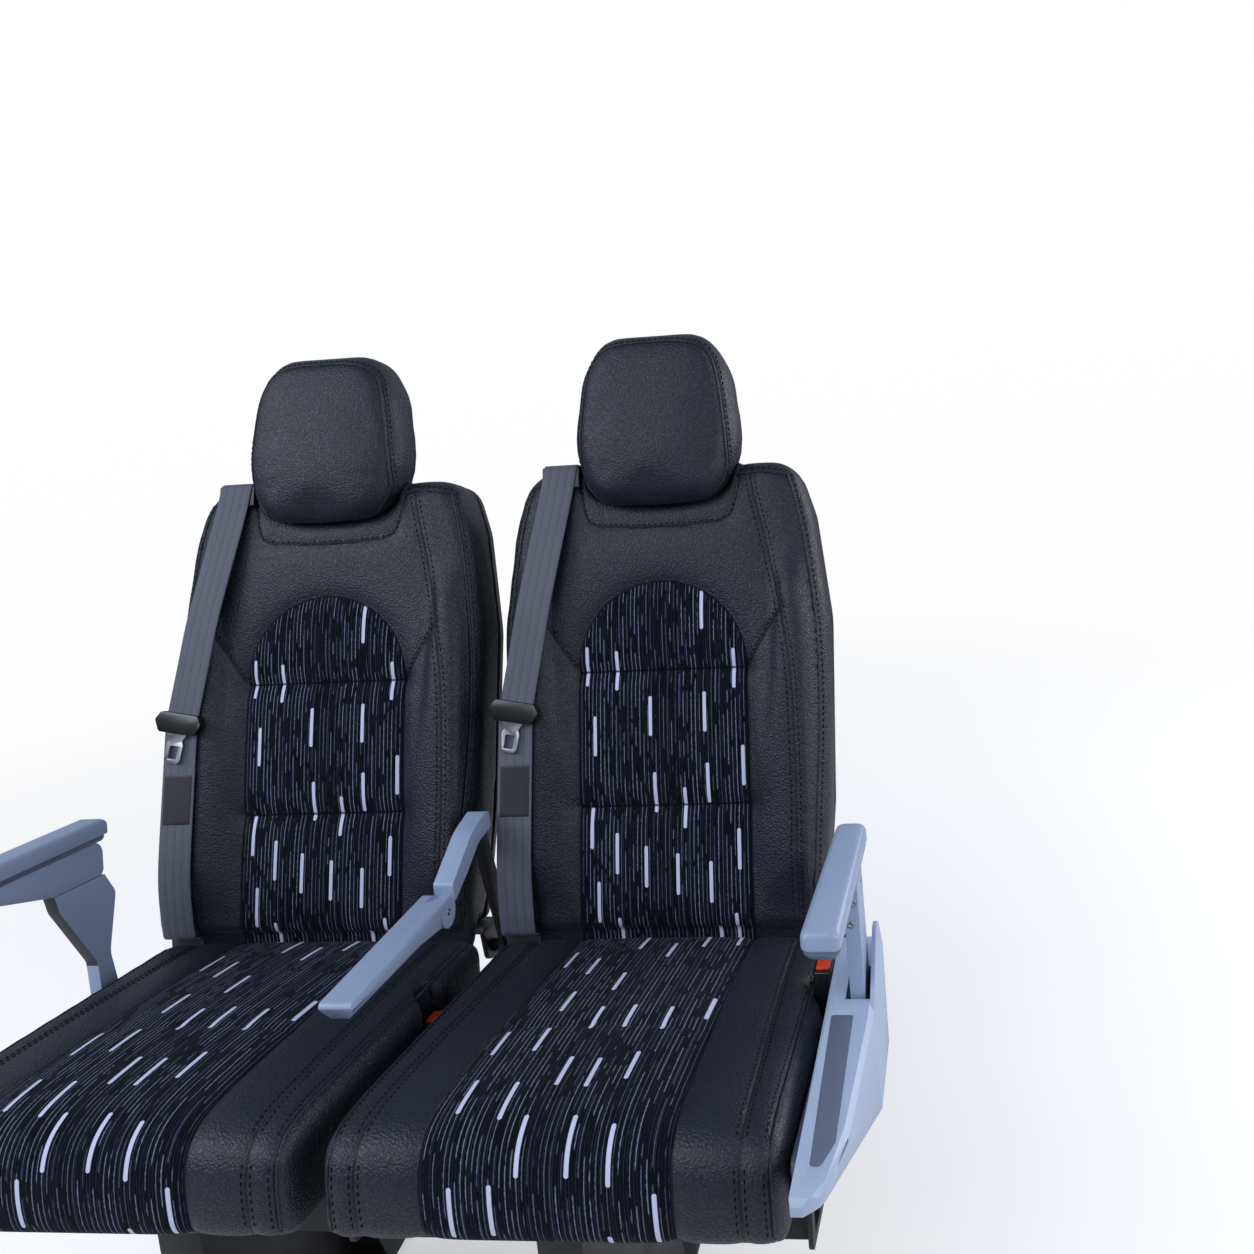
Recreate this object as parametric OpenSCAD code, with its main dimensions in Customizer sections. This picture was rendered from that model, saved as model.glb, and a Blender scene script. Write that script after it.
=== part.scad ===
// Twin coach passenger seat: a window seat and an aisle seat on one frame.
// The seats face -Y, +X is the aisle side, and the floor is at z = 0.
// The origin is on the floor, at the middle of the four floor bolts.

/* [Layout] */
// Height of the crease where cushion and backrest meet
crease_z = 424; // [400:1:460]
// Distance of the crease behind the floor bolt pattern's middle
crease_y = 150; // [120:1:180]
// Lean of the backrest from vertical, as parked
back_lean = 18; // [12:0.5:24]
// Rise of the cushion towards its front edge
seat_slope = 8; // [4:0.5:10]

/* [Cushion] */
// Width of one cushion
cushion_w = 434; // [410:1:460]
// Gap between the two cushions
cushion_gap = 26; // [24:1:60]
// Length of the cushion in front of the crease
cushion_len = 462; // [420:1:480]
// Thickness of the cushion
cushion_t = 96; // [80:1:110]
// Rounding of the cushion's front lip
cushion_lip_r = 44; // [30:1:50]
// Rounding of the cushion's front corners seen from above
cushion_corner_r = 34; // [15:1:60]
// Radius of the bite in the cushion's side that the buckle stands in
buckle_bite_r = 27; // [24:1:32]
// Thickness of the board under the cushion
pan_t = 6; // [4:1:10]

/* [Backrest] */
// Height of the shoulders above the crease, along the backrest
shoulder_s = 592; // [560:1:620]
// Gap between the backrest's foot and the crease
back_foot_s = 6; // [5:1:12]
// Half of the backrest's greatest width
back_half_w = 217; // [205:1:219]
// Thickness of the padding
pad_t = 75; // [65:1:90]
// How far the padding's front face is set in from its sides
pad_inset = 14; // [8:1:20]
// How far the side bolsters stand out from the middle
bolster_h = 22; // [10:1:28]
// Thickness of the moulded rear shell
shell_t = 22; // [18:1:30]

/* [Headrest] */
// Half of the headrest's greatest width
head_half_w = 112; // [100:1:116]
// Height of the headrest's lower edge above the crease
head_low_s = 541; // [535:1:560]
// Height of the headrest's top above the crease
head_top_s = 768; // [740:1:790]
// How far the headrest stands out in front of the backrest
head_front = 38; // [25:1:45]
// Thickness of the headrest
head_t = 93; // [80:1:100]
// Diameter of the two headrest rods
head_rod_d = 12; // [10:0.5:14]
// Distance between the two headrest rods
head_rod_pitch = 110; // [90:1:130]
// Upward travel of the headrest
head_travel = 60; // [30:1:70]

/* [Frame] */
// Side of the square cross tubes
beam_w = 40; // [35:1:45]
// Wall of the square cross tubes
beam_wall = 3; // [2:0.5:5]
// Distance of the front tube's middle in front of the crease
beam_front = 340; // [300:1:370]
// Distance of the rear tube's middle in front of the crease
beam_rear = 40; // [30:1:60]
// Thickness of the three side plates
plate_t = 5; // [4:0.5:8]
// Diameter of the recline pins
pin_d = 16; // [12:1:20]
// Distance between the two legs' middles
leg_pitch = 400; // [300:10:600]
// Distance between the front and rear floor bolts
bolt_pitch_y = 300; // [260:10:320]
// Diameter of the floor bolt holes
bolt_hole_d = 11; // [9:0.5:14]
// Thickness of the foot plates
foot_t = 8; // [6:1:12]
// Width of the pressed legs
leg_w = 46; // [36:1:60]
// Wall of the pressed legs
leg_wall = 4; // [3:0.5:6]

/* [Centre armrest] */
// Width of the centre armrest's top
centre_arm_w = 34; // [28:0.5:36]
// Length from its hinge to its tip
centre_arm_len = 232; // [180:1:260]
// Place of the hinge ahead of the crease
centre_pivot_fwd = 129; // [110:1:150]
// Height of the hinge above the floor
centre_pivot_z = 533; // [515:1:560]
// Rise of the lowered armrest towards its tip
centre_arm_rise = 4; // [0:0.5:8]

/* [Aisle armrest and side cover] */
// Height of the armrest's top
aisle_arm_top_z = 645; // [620:1:670]
// Length of the armrest's cap
aisle_cap_len = 222; // [190:1:250]
// Place of the cap's rear end ahead of the crease
aisle_cap_fwd = 164; // [150:1:175]
// Downward travel of the armrest
aisle_arm_travel = 70; // [50:1:80]
// Height of the side cover's top
cover_top_z = 475; // [455:1:485]
// Height of the side cover
cover_h = 121; // [110:1:150]
// Wall of the side cover
cover_wall = 3; // [2:0.5:4]

/* [Window armrest] */
// Rise of the window armrest towards its tip
window_arm_rise = 9; // [0:0.5:12]
// Length of the window armrest
window_cap_len = 214; // [185:1:240]

/* [Belt] */
// Width of the webbing
belt_w = 45; // [44:1:48]
// Thickness of the webbing
belt_t = 1.4; // [1:0.1:2]
// Sideways place of the shoulder guide from the seat's middle
belt_top_x = 131; // [130:1:136]
// Sideways place of the tongue from the seat's middle
belt_tongue_x = 186; // [180:1:188]
// Height of the tongue above the crease
belt_tongue_s = 281; // [240:1:320]

/* [Hidden] */
SIDES = ["window", "aisle"];
$fn = 48;

light_grey = "#b9bec6";
mid_grey = "#6e747c";
dark_grey = "#3c4046";
leather = "#23262b";
webbing = "#5a5450";
black_paint = "#26282b";
black_plastic = "#17181a";

seat_pitch = cushion_w + cushion_gap;   // distance between the middles of the two seats
clear = 0.3;         // gap between pieces that only touch
hinge_gap = 0.08;    // running gap of a pin in its bore, on the radius
slide_gap = 0.2;     // running gap of the aisle armrest in its guide
side_gap = 4;        // gap between a cushion and the side plate beside it
window_x = -seat_pitch / 2;
aisle_x = seat_pitch / 2;
frame_half = aisle_x + cushion_w / 2 + side_gap + plate_t;   // outer face of the side plates
centre_plate_t = plate_t + 1;

// The recline pin, in the backrest's own frame
pin_back = [66, -22];
// The same pin seen from the crease, level with the floor
pin_rel = [pin_back[0] * cos(back_lean) + pin_back[1] * sin(back_lean),
           -pin_back[0] * sin(back_lean) + pin_back[1] * cos(back_lean)];
pin_y = crease_y + pin_rel[0];
pin_z = crease_z + pin_rel[1];
lug_t = 6;
lug_out = cushion_w / 2 - 7;   // outer face of a lug from the seat's middle
lug_r = 16;

// The underside of the cushion, its board and the tubes, in the seat's frame
pan_top = -cushion_t;
beam_top = pan_top - pan_t;
beam_low = beam_top - beam_w;

// Corner rounding for a table of rows [x, y, radius]
function unit(v) = v / norm(v);
function turn(a) = a > 180 ? a - 360 : a < -180 ? a + 360 : a;
function corner(a, b, c, r, steps) =
    let (u = unit([a[0] - b[0], a[1] - b[1]]), v = unit([c[0] - b[0], c[1] - b[1]]),
         half = acos(max(-1, min(1, u * v))) / 2,
         back = r / tan(half), mid = [b[0], b[1]] + unit(u + v) * r / sin(half),
         p = [b[0], b[1]] + u * back - mid, q = [b[0], b[1]] + v * back - mid,
         a0 = atan2(p[1], p[0]), sweep = turn(atan2(q[1], q[0]) - a0))
    [for (i = [0 : steps]) mid + r * [cos(a0 + sweep * i / steps), sin(a0 + sweep * i / steps)]];
function rounded(rows, steps = 6) = let (n = len(rows)) [for (i = [0 : n - 1])
    each rows[i][2] > 0
        ? corner(rows[(i + n - 1) % n], rows[i], rows[(i + 1) % n], rows[i][2], steps)
        : [[rows[i][0], rows[i][1]]]];
// Both halves of an outline from the rows of its right half, listed from the foot up
function both_halves(rows) = concat(rows,
    [for (i = [len(rows) - 1 : -1 : 0]) [-rows[i][0], rows[i][1], rows[i][2]]]);

// A slab from a profile of [y, z], between two places along X
module side_slab(profile, x0, x1) {
    translate([x0, 0, 0]) rotate([90, 0, 90]) linear_extrude(x1 - x0) polygon(profile);
}

// A slab from an outline of [x, z], between two depths along Y
module front_slab(outline, y0, y1) {
    translate([0, y1, 0]) rotate([90, 0, 0]) linear_extrude(y1 - y0) polygon(outline);
}

// The seat's frame: its origin is on the crease and +Y runs back along the slope
module in_seat() {
    translate([0, crease_y, crease_z]) rotate([-seat_slope, 0, 0]) children();
}

// The backrest's frame: its origin is on the crease and +Z runs up the lean
module in_back(x) {
    translate([x, crease_y, crease_z]) rotate([-back_lean, 0, 0]) children();
}

// A round pin or bore along X
module cross_pin(y, z, d, x0, x1) {
    translate([x0, y, z]) rotate([0, 90, 0]) cylinder(h = x1 - x0, d = d);
}

// Floor frame

foot_len = bolt_pitch_y + 60;
foot_w = 70;
leg_top_z = crease_z + beam_low * cos(seat_slope);
leg_slope = tan(seat_slope);

// Height of the tubes' underside at a place along Y
function under_beam(y) = leg_top_z
    + (crease_y + beam_low * sin(seat_slope) - y) * leg_slope;

module leg(x, cheek) {
    front_y = crease_y - beam_front - 26;
    rear_y = crease_y - beam_rear + 8;
    top_front = under_beam(front_y);
    top_rear = under_beam(rear_y);
    flange = [[-115, foot_t, 0], [115, foot_t, 0], [72, 120, 60], [rear_y, top_rear - 40, 20],
              [rear_y, top_rear, 0], [front_y, top_front, 0], [front_y, top_front - 40, 20],
              [-72, 120, 60]];
    hollow = [[-115 + leg_wall, foot_t - 1, 0], [115 - leg_wall, foot_t - 1, 0],
              [72 - leg_wall, 120, 60], [rear_y - leg_wall, top_rear - 40, 20],
              [rear_y - leg_wall, top_rear - leg_wall, 0],
              [front_y + leg_wall, top_front - leg_wall, 0],
              [front_y + leg_wall, top_front - 40, 20], [-72 + leg_wall, 120, 60]];
    color(black_paint) {
        difference() {
            side_slab(rounded(flange), x - leg_w / 2, x + leg_w / 2);
            side_slab(rounded(hollow), x - leg_w / 2 + (cheek < 0 ? leg_wall : -1),
                x + leg_w / 2 - (cheek > 0 ? leg_wall : -1));
            cross_pin(0, 190, 60, x - leg_w, x + leg_w);
        }
        difference() {
            translate([x - foot_w / 2, -foot_len / 2, 0]) cube([foot_w, foot_len, foot_t]);
            for (side = [-1, 1])
                translate([x, side * bolt_pitch_y / 2, -1])
                    cylinder(h = foot_t + 2, d = bolt_hole_d);
        }
    }
}

module beam(fwd) {
    color(black_paint) in_seat() translate([-frame_half, -fwd, beam_low]) difference() {
        translate([0, -beam_w / 2, 0]) cube([2 * frame_half, beam_w, beam_w]);
        translate([-1, beam_wall - beam_w / 2, beam_wall])
            cube([2 * frame_half + 2, beam_w - 2 * beam_wall, beam_w - 2 * beam_wall]);
    }
}

// Height of a side plate's middle, ahead of the crease
function plate_mid_z(fwd) = crease_z + (pan_top + beam_low) / 2 * cos(seat_slope)
    + fwd * sin(seat_slope);

// The outline of a side plate, with the holes that its tubes pass through
module plate_shape() {
    pin = [pin_rel[0] * cos(seat_slope) - pin_rel[1] * sin(seat_slope),
           pin_rel[0] * sin(seat_slope) + pin_rel[1] * cos(seat_slope)];
    rail = rounded([[-beam_front - 32, beam_low - 5, 8], [-beam_rear + 30, beam_low - 5, 30],
        [pin[0] + 20, pin[1] - 14, 8], [pin[0] + 4, pin[1] + 19, 8],
        [pin[0] - 26, pin[1] + 8, 20], [-beam_rear - 24, pan_top + 2, 30],
        [-beam_front - 32, pan_top + 2, 10]]);
    difference() {
        polygon(rail);
        for (fwd = [beam_front, beam_rear])
            translate([-fwd - beam_w / 2, beam_low]) square(beam_w);
    }
}

module plate_slab(x0, x1) {
    in_seat() translate([x0, 0, 0]) rotate([90, 0, 90]) linear_extrude(x1 - x0) plate_shape();
}

module outer_plate(side) {
    inner = frame_half - plate_t;
    x0 = side > 0 ? inner : -frame_half;
    pin_in = seat_pitch / 2 + lug_out - lug_t - 2;
    color(black_paint) {
        plate_slab(x0, x0 + plate_t);
        cross_pin(pin_y, pin_z, pin_d, side > 0 ? pin_in : -inner, side > 0 ? inner : -pin_in);
    }
}

// The middle plate also rises between the backrests to carry the armrest's stub
module centre_plate() {
    pin_reach = seat_pitch / 2 - lug_out + lug_t + 2;
    half = centre_plate_t / 2;
    color(black_paint) {
        plate_slab(-half, half);
        side_slab(rounded([[pin_y - 18, pin_z, 0], [pin_y + 16, pin_z, 0],
            [stub_rear_y - 2, stub_top_z - 10, 4], [stub_rear_y - 34, stub_top_z - 12, 4]]),
            -half, half);
        cross_pin(pin_y, pin_z, pin_d, -pin_reach, pin_reach);
    }
}

// Cushions

pan_side = 16;          // how far the board stands in from the cushion's sides
pan_front = 54;         // and from its front
pan_rear = 6;           // how far it runs back past the crease

module pan(x) {
    color(black_paint) in_seat()
        translate([x - cushion_w / 2 + pan_side, -cushion_len + pan_front, beam_top])
            cube([cushion_w - 2 * pan_side, cushion_len - pan_front + pan_rear, pan_t]);
}

module cushion(x) {
    rear = 10;
    side_view = rounded([[rear, -3, 9], [-cushion_len + 85, 5, 150],
        [-cushion_len, 2, cushion_lip_r], [-cushion_len + 8, -cushion_t, 22],
        [rear, -cushion_t, 8]]);
    plan = rounded([[-cushion_w / 2, -cushion_len - 1, cushion_corner_r],
        [cushion_w / 2, -cushion_len - 1, cushion_corner_r],
        [cushion_w / 2, rear + 1, 8], [-cushion_w / 2, rear + 1, 8]]);
    color(leather) in_seat() translate([x, 0, 0]) difference() {
        intersection() {
            side_slab(side_view, -cushion_w / 2, cushion_w / 2);
            translate([0, 0, -cushion_t - 1]) linear_extrude(cushion_t + 12) polygon(plan);
        }
        translate([cushion_w / 2 + 5, -buckle_fwd, -cushion_t - 1])
            cylinder(h = cushion_t + 12, r = buckle_bite_r);
    }
}

// Backrests

// Rows [half width, height, rounding] of the padding's rear outline
back_rows = [[back_half_w - 20, back_foot_s, 14], [back_half_w - 6, 150, 160],
    [back_half_w, 385, 160], [back_half_w - 16, 520, 90], [back_half_w - 38, shoulder_s, 40]];
// The same rows for the front face, set in all round
pad_front_rows = [for (r = back_rows)
    [r[0] - pad_inset, max(r[1], back_foot_s + 4) - (r[1] == shoulder_s ? pad_inset : 0), r[2]]];
notch_floor_s = head_low_s - 8;
notch_half = head_half_w - 6;        // at the shoulders, where the headrest is narrower
notch_depth = head_t - head_front + 8;
rod_y = 24;
rod_below = head_travel + 80;        // length of the rods below the headrest
rod_above = 60;                      // length of the rods inside the headrest
sleeve_d = head_rod_d + 8;
sleeve_len = rod_below + 10;
slot_margin = 8;                     // room beside the webbing in the shell's slot

module back_pad(x) {
    color(leather) in_back(x) difference() {
        union() {
            hull() {
                front_slab(rounded(both_halves(back_rows)), pad_inset, pad_t);
                front_slab(rounded(both_halves(pad_front_rows)), 0, pad_t / 2);
            }
            for (side = [-1, 1]) hull() {
                front_slab([for (p = bolster_foot) [side * p[0], p[1]]], 1, 4);
                front_slab([for (p = bolster_crest) [side * p[0], p[1]]], -bolster_h, 2);
            }
        }
        // The notch that the headrest sits in
        front_slab(rounded([[notch_half - 14, notch_floor_s, 28],
            [notch_half, shoulder_s + 20, 0], [-notch_half, shoulder_s + 20, 0],
            [-notch_half + 14, notch_floor_s, 28]]), -bolster_h, notch_depth);
        for (side = [-1, 1])
            translate([side * head_rod_pitch / 2, rod_y, notch_floor_s - sleeve_len])
                cylinder(h = sleeve_len + 20, d = sleeve_d);
    }
}
bolster_foot = [[118, 30], [192, 30], [200, 150], [200, 385], [184, 480], [150, 480]];
bolster_crest = [[168, 90], [186, 90], [190, 160], [190, 360], [178, 420], [164, 420]];

module back_shell(x) {
    shell_rows = [for (r = back_rows)
        [r[0] - 2, r[1] == shoulder_s ? shoulder_s - 2 : r[1], r[2]]];
    rear_rows = [for (r = back_rows)
        [r[0] - 22, r[1] == shoulder_s ? shoulder_s - 22 : max(r[1], back_foot_s), r[2]]];
    color(dark_grey) in_back(x) difference() {
        hull() {
            front_slab(rounded(both_halves(shell_rows)), pad_t, pad_t + shell_t - 12);
            front_slab(rounded(both_halves(rear_rows)), pad_t, pad_t + shell_t);
        }
        // The slot that the webbing comes out of
        translate([-belt_top_x - belt_w / 2 - slot_margin, pad_t - 1, shoulder_s - slot_depth - 4])
            cube([belt_w + 2 * slot_margin, 9, slot_depth + 20]);
    }
}

module back_carrier(x) {
    floor_s = back_foot_s - 8;
    rear = pad_t + shell_t;
    carrier_front = 30;
    color(black_paint) in_back(x) {
        translate([-lug_out, carrier_front, floor_s])
            cube([2 * lug_out, rear + 4 - carrier_front, 8]);
        translate([-150, rear, floor_s + 8]) cube([300, 4, 84]);
        for (side = [-1, 1]) difference() {
            side_slab(rounded([[pin_back[0] - 34, floor_s, 0],
                [pin_back[0] - lug_r, pin_back[1] - lug_r, 14],
                [pin_back[0] + lug_r, pin_back[1] - lug_r, 14],
                [pin_back[0] + 34, floor_s, 0]]),
                side > 0 ? lug_out - lug_t : -lug_out, side > 0 ? lug_out : lug_t - lug_out);
            cross_pin(pin_back[0], pin_back[1], pin_d + 2 * hinge_gap,
                -lug_out - 1, lug_out + 1);
        }
    }
}

module back_pocket(x) {
    pocket_half = 150;
    low = 150;
    high = 330;
    wall = 3;
    depth = 20;
    rear = pad_t + shell_t;
    outline = rounded([[pocket_half - 12, low, 25], [pocket_half, high, 0],
        [-pocket_half, high, 0], [-pocket_half + 12, low, 25]]);
    hollow = rounded([[pocket_half - 12 - wall, low + wall, 22], [pocket_half - wall, high + 1, 0],
        [-pocket_half + wall, high + 1, 0], [-pocket_half + 12 + wall, low + wall, 22]]);
    color(mid_grey) in_back(x) difference() {
        front_slab(outline, rear, rear + depth);
        front_slab(hollow, rear - 1, rear + depth - wall);
    }
}

// Headrests

// Rows [half width, height, rounding] of the headrest's outline
head_rows = [[head_half_w - 30, head_low_s, 30], [head_half_w - 13, head_low_s + 58, 90],
    [head_half_w, head_low_s + 108, 90], [head_half_w - 8, head_top_s - 56, 70],
    [head_half_w - 38, head_top_s, 44]];
head_front_rows = [for (r = head_rows) [r[0] - 18,
    r[1] == head_low_s ? r[1] + 14 : r[1] == head_top_s ? r[1] - 16 : r[1], r[2]]];

module headrest(x) {
    color(leather) in_back(x) difference() {
        hull() {
            front_slab(rounded(both_halves(head_rows)), -10, head_t - head_front - 14);
            front_slab(rounded(both_halves(head_front_rows)), -head_front,
                head_t - head_front);
        }
        for (side = [-1, 1])
            translate([side * head_rod_pitch / 2, rod_y, head_low_s - 1])
                cylinder(h = rod_above + 1, d = head_rod_d);
    }
}

module headrest_rods(x) {
    color("silver") in_back(x) for (side = [-1, 1])
        translate([side * head_rod_pitch / 2, rod_y, head_low_s - rod_below])
            cylinder(h = rod_below + rod_above, d = head_rod_d);
}

module headrest_sleeves(x) {
    flange_t = 3;
    color(dark_grey) in_back(x) for (side = [-1, 1])
        translate([side * head_rod_pitch / 2, rod_y, notch_floor_s]) difference() {
            union() {
                translate([0, 0, -sleeve_len]) cylinder(h = sleeve_len, d = sleeve_d);
                cylinder(h = flange_t, d = sleeve_d + 10);
            }
            translate([0, 0, -sleeve_len - 1])
                cylinder(h = sleeve_len + flange_t + 2, d = head_rod_d + 2 * hinge_gap);
        }
}

// Belts

guide_h = 5;                // height of the guide above the shoulder
guide_lip = 4.5;            // thickness of its lip in front of the padding
guide_r = 4;
guide_w = belt_w + 6;
slot_depth = 22;            // how far the webbing reaches down into the shell
// Turn of the upper webbing on its way from the guide to the tongue
belt_turn = atan2(belt_tongue_x - belt_top_x, shoulder_s - belt_tongue_s);
belt_anchor_x = cushion_w / 2 - 27;
belt_tail_y = 14.3;
belt_gap = 0.6;
belt_ride = bolster_h + belt_t + belt_gap;

module belt_guide(x) {
    color(black_plastic) in_back(x) translate([-belt_top_x - guide_w / 2, 0, 0])
        side_slab(rounded([[-guide_lip, shoulder_s - 24, 1.5],
            [-guide_lip, shoulder_s + guide_h, guide_r],
            [pad_t - 5, shoulder_s + guide_h, 3], [pad_t - 5, shoulder_s + clear, 0],
            [pad_inset, shoulder_s + 2 * clear, 0],
            [-clear, shoulder_s - pad_inset + clear, 0],
            [-clear, shoulder_s - 24, 1.5]]), 0, guide_w);
}

// A ribbon of even thickness on one side of a line of points [y, z]
function ribbon(line, t) = let (n = len(line), side = [for (i = [0 : n - 1])
    let (d = unit(line[min(i + 1, n - 1)] - line[max(i - 1, 0)])) line[i] + t * [-d[1], d[0]]])
    concat(line, [for (i = [n - 1 : -1 : 0]) side[i]]);

// The webbing's path is a ribbon in side view, cut to its course in front view
module belt_webbing(x) {
    bend_r = guide_r + clear + belt_t;
    bend_s = shoulder_s + guide_h - guide_r;
    front_bend = [for (a = [90 : 15 : 180])
        [guide_r - guide_lip + bend_r * cos(a), bend_s + bend_r * sin(a)]];
    rear_bend = [for (a = [0 : 15 : 90]) [pad_t + bend_r * cos(a), bend_s + bend_r * sin(a)]];
    line = concat([[pad_t + bend_r, shoulder_s - slot_depth]], rear_bend, front_bend,
        [[guide_r - guide_lip - bend_r, shoulder_s - 26], [-belt_ride, 425], [-belt_ride, 90],
         [-12, 30], [-6, 12], [-3, 5], [4, 3.4], [10, 3.4]]);
    course = [[belt_top_x, shoulder_s + 30], [belt_top_x, shoulder_s],
        [belt_tongue_x, belt_tongue_s], [belt_anchor_x, 0], [belt_anchor_x, -30]];
    half = belt_w / 2;
    outline = concat([for (p = course) [half - p[0], p[1]]],
        [for (i = [len(course) - 1 : -1 : 0]) [-half - course[i][0], course[i][1]]]);
    color(webbing) in_back(x) intersection() {
        side_slab(ribbon(line, belt_t), -back_half_w - 20, 0);
        front_slab(outline, -belt_ride - 5, pad_t + 20);
    }
}

module belt_tongue(x) {
    grip_w = 66;
    grip_h = 26;
    low = -grip_h / 2;
    plate_len = 38;
    hole_h = 17;
    hole_half = 6;
    front = -belt_ride;
    color("#1b1c1e") in_back(x)
        translate([-belt_tongue_x, 0, belt_tongue_s]) rotate([0, belt_turn, 0]) {
            front_slab(rounded(both_halves([[grip_w / 2 - 8, low, 5], [grip_w / 2, 2, 5],
                [grip_w / 2 - 7, -low, 4]])), front - clear - 9, front - clear);
            difference() {
                front_slab(rounded(both_halves([[11, low - plate_len, 5], [12, low - 15, 3],
                    [9.5, low - 9, 2], [15, low + 1, 0]])), front - clear - 6, front - clear - 3);
                translate([-hole_half, front - 10, low - plate_len + 5])
                    cube([2 * hole_half, 10, hole_h]);
            }
        }
}

// The lap end of the webbing, which comes up behind the cushion
module belt_tail(x) {
    low = beam_top - 10;
    color(webbing) in_seat() translate([x - belt_anchor_x, 0, 0])
        side_slab([[belt_tail_y - belt_t, -2], [belt_tail_y, -2], [belt_tail_y, low],
            [belt_tail_y - belt_t, low]], -belt_w / 2, belt_w / 2);
}

// The steel tab on the rear tube that holds the lap end
module belt_anchor(x) {
    tab_t = 3;
    tab_half = 17;
    foot = beam_top - 22;
    head = beam_top + 20;
    beam_face = beam_w / 2 - beam_rear;
    color(black_paint) in_seat() translate([x - belt_anchor_x, 0, 0])
        side_slab([[beam_face, foot], [belt_tail_y + tab_t, foot], [belt_tail_y + tab_t, head],
            [belt_tail_y, head], [belt_tail_y, foot + tab_t], [beam_face, foot + tab_t]],
            -tab_half, tab_half);
}

buckle_fwd = 132;       // buckle's middle ahead of the crease
buckle_t = 22;
buckle_w = 36;
buckle_len = 62;
buckle_tops = [-36, 22]; // tops above the cushion's plane: the window seat's one has sunk in
button_t = 3;
buckle_off = cushion_w / 2 - 1;   // its middle from the seat's middle

module buckle(x, top) {
    color("#1b1c1e") in_seat() translate([x + buckle_off, -buckle_fwd, top - buckle_len])
        front_shape_box(buckle_t, buckle_w, buckle_len - button_t, 5);
}

// A box with rounded upright edges, standing on z = 0
module front_shape_box(w, d, h, r) {
    linear_extrude(h) polygon(rounded([[-w / 2, -d / 2, r], [w / 2, -d / 2, r],
        [w / 2, d / 2, r], [-w / 2, d / 2, r]]));
}

module buckle_buttons() {
    color("#e8401c") for (i = [0, 1]) in_seat()
        translate([[window_x, aisle_x][i] + buckle_off, -buckle_fwd, buckle_tops[i] - button_t])
            front_shape_box(buckle_t - 6, buckle_w - 10, button_t, 3);
}

// The stalk that a buckle stands on, bolted to the side plate beside it
module buckle_stalk(x, plate_face, top) {
    foot = min(beam_top + 4, top - buckle_len - 18);
    stalk_x = x + buckle_off;
    color("#2b2c2e") in_seat() {
        translate([stalk_x - 2, -buckle_fwd - 8, foot])
            cube([4, 16, top - buckle_len - foot]);
        translate([min(plate_face, stalk_x - 2), -buckle_fwd - 12, foot - 4])
            cube([abs(plate_face - stalk_x) + 2, 24, 4]);
    }
}

// Centre armrest

centre_pivot_y = crease_y - centre_pivot_fwd;
arm_boss_r = 18;
arm_pin_d = 8;
boss_half = centre_arm_w / 2 - 2;
tongue_t = 11;
tongue_r = 15;
tongue_rise = 7;        // top of the stub's tongue above the hinge
stub_front_y = centre_pivot_y + arm_boss_r + 6;
stub_rear_y = crease_y + 20;
stub_top_z = centre_pivot_z + 58;
stub_half = 12;
stub_low_z = stub_top_z - 26;   // underside of the stub where the steel plate enters it

module centre_arm_stub() {
    outline = rounded([[stub_front_y, centre_pivot_z - 2, 3],
        [stub_front_y + 44, centre_pivot_z + 14, 40], [stub_rear_y - 40, stub_low_z, 30],
        [stub_rear_y, stub_low_z, 6], [stub_rear_y, stub_top_z, 12],
        [stub_rear_y - 56, stub_top_z - 6, 60], [stub_front_y, centre_pivot_z + 21, 5]]);
    half = centre_plate_t / 2;
    color(light_grey) difference() {
        union() {
            side_slab(outline, -stub_half, stub_half);
            side_slab([[stub_front_y + 4, centre_pivot_z - 5],
                [stub_front_y + 4, centre_pivot_z + tongue_rise],
                [centre_pivot_y, centre_pivot_z + tongue_rise],
                [centre_pivot_y, centre_pivot_z - 5]], -tongue_t / 2, tongue_t / 2);
            cross_pin(centre_pivot_y, centre_pivot_z, 2 * tongue_r, -tongue_t / 2, tongue_t / 2);
        }
        cross_pin(centre_pivot_y, centre_pivot_z, arm_pin_d + 2 * hinge_gap, -40, 40);
        // The pocket that the steel plate fills
        side_slab([[stub_rear_y - 36, 0], [stub_rear_y + 20, 0],
            [stub_rear_y + 20, stub_top_z - 10], [stub_rear_y - 36, stub_top_z - 10]], -half, half);
    }
}

module in_centre_arm() {
    translate([0, centre_pivot_y, centre_pivot_z]) rotate([-centre_arm_rise, 0, 0]) children();
}

module centre_arm() {
    top = 18;
    rim = 7;             // thickness of the armrest's edge
    half = centre_arm_w / 2;
    low_half = half - 7;
    fork = tongue_t / 2 + 0.6;
    color(light_grey) in_centre_arm() difference() {
        union() {
            // From the tip to the bend: a flat top on sides that draw in downwards
            hull() {
                side_slab(rounded([[-64, top, 0], [-64, top - rim, 0],
                    [-centre_arm_len, top - rim, 3], [-centre_arm_len, top, 5]]), -half, half);
                side_slab([[-64, -7], [-centre_arm_len + 8, -1], [-centre_arm_len + 8, top - rim],
                    [-64, top - rim]], -low_half, low_half);
            }
            // From the bend to the hinge
            hull() {
                side_slab([[4, top], [4, top - rim], [-64, top - rim], [-64, top]], -half, half);
                side_slab([[-8, -14], [-64, -7], [-64, top - rim], [4, top - rim]],
                    -low_half, low_half);
            }
            cross_pin(0, 0, 2 * arm_boss_r, -boss_half, boss_half);
        }
        cross_pin(0, 0, 2 * tongue_r + 3, -fork, fork);
        // The slot that the stub's tongue lies in, also with the armrest folded up
        side_slab([[-tongue_rise - 5, -30], [30, -30], [30, 30], [-tongue_rise - 5, 30]],
            -fork, fork);
        cross_pin(0, 0, arm_pin_d, -40, 40);
    }
}

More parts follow.
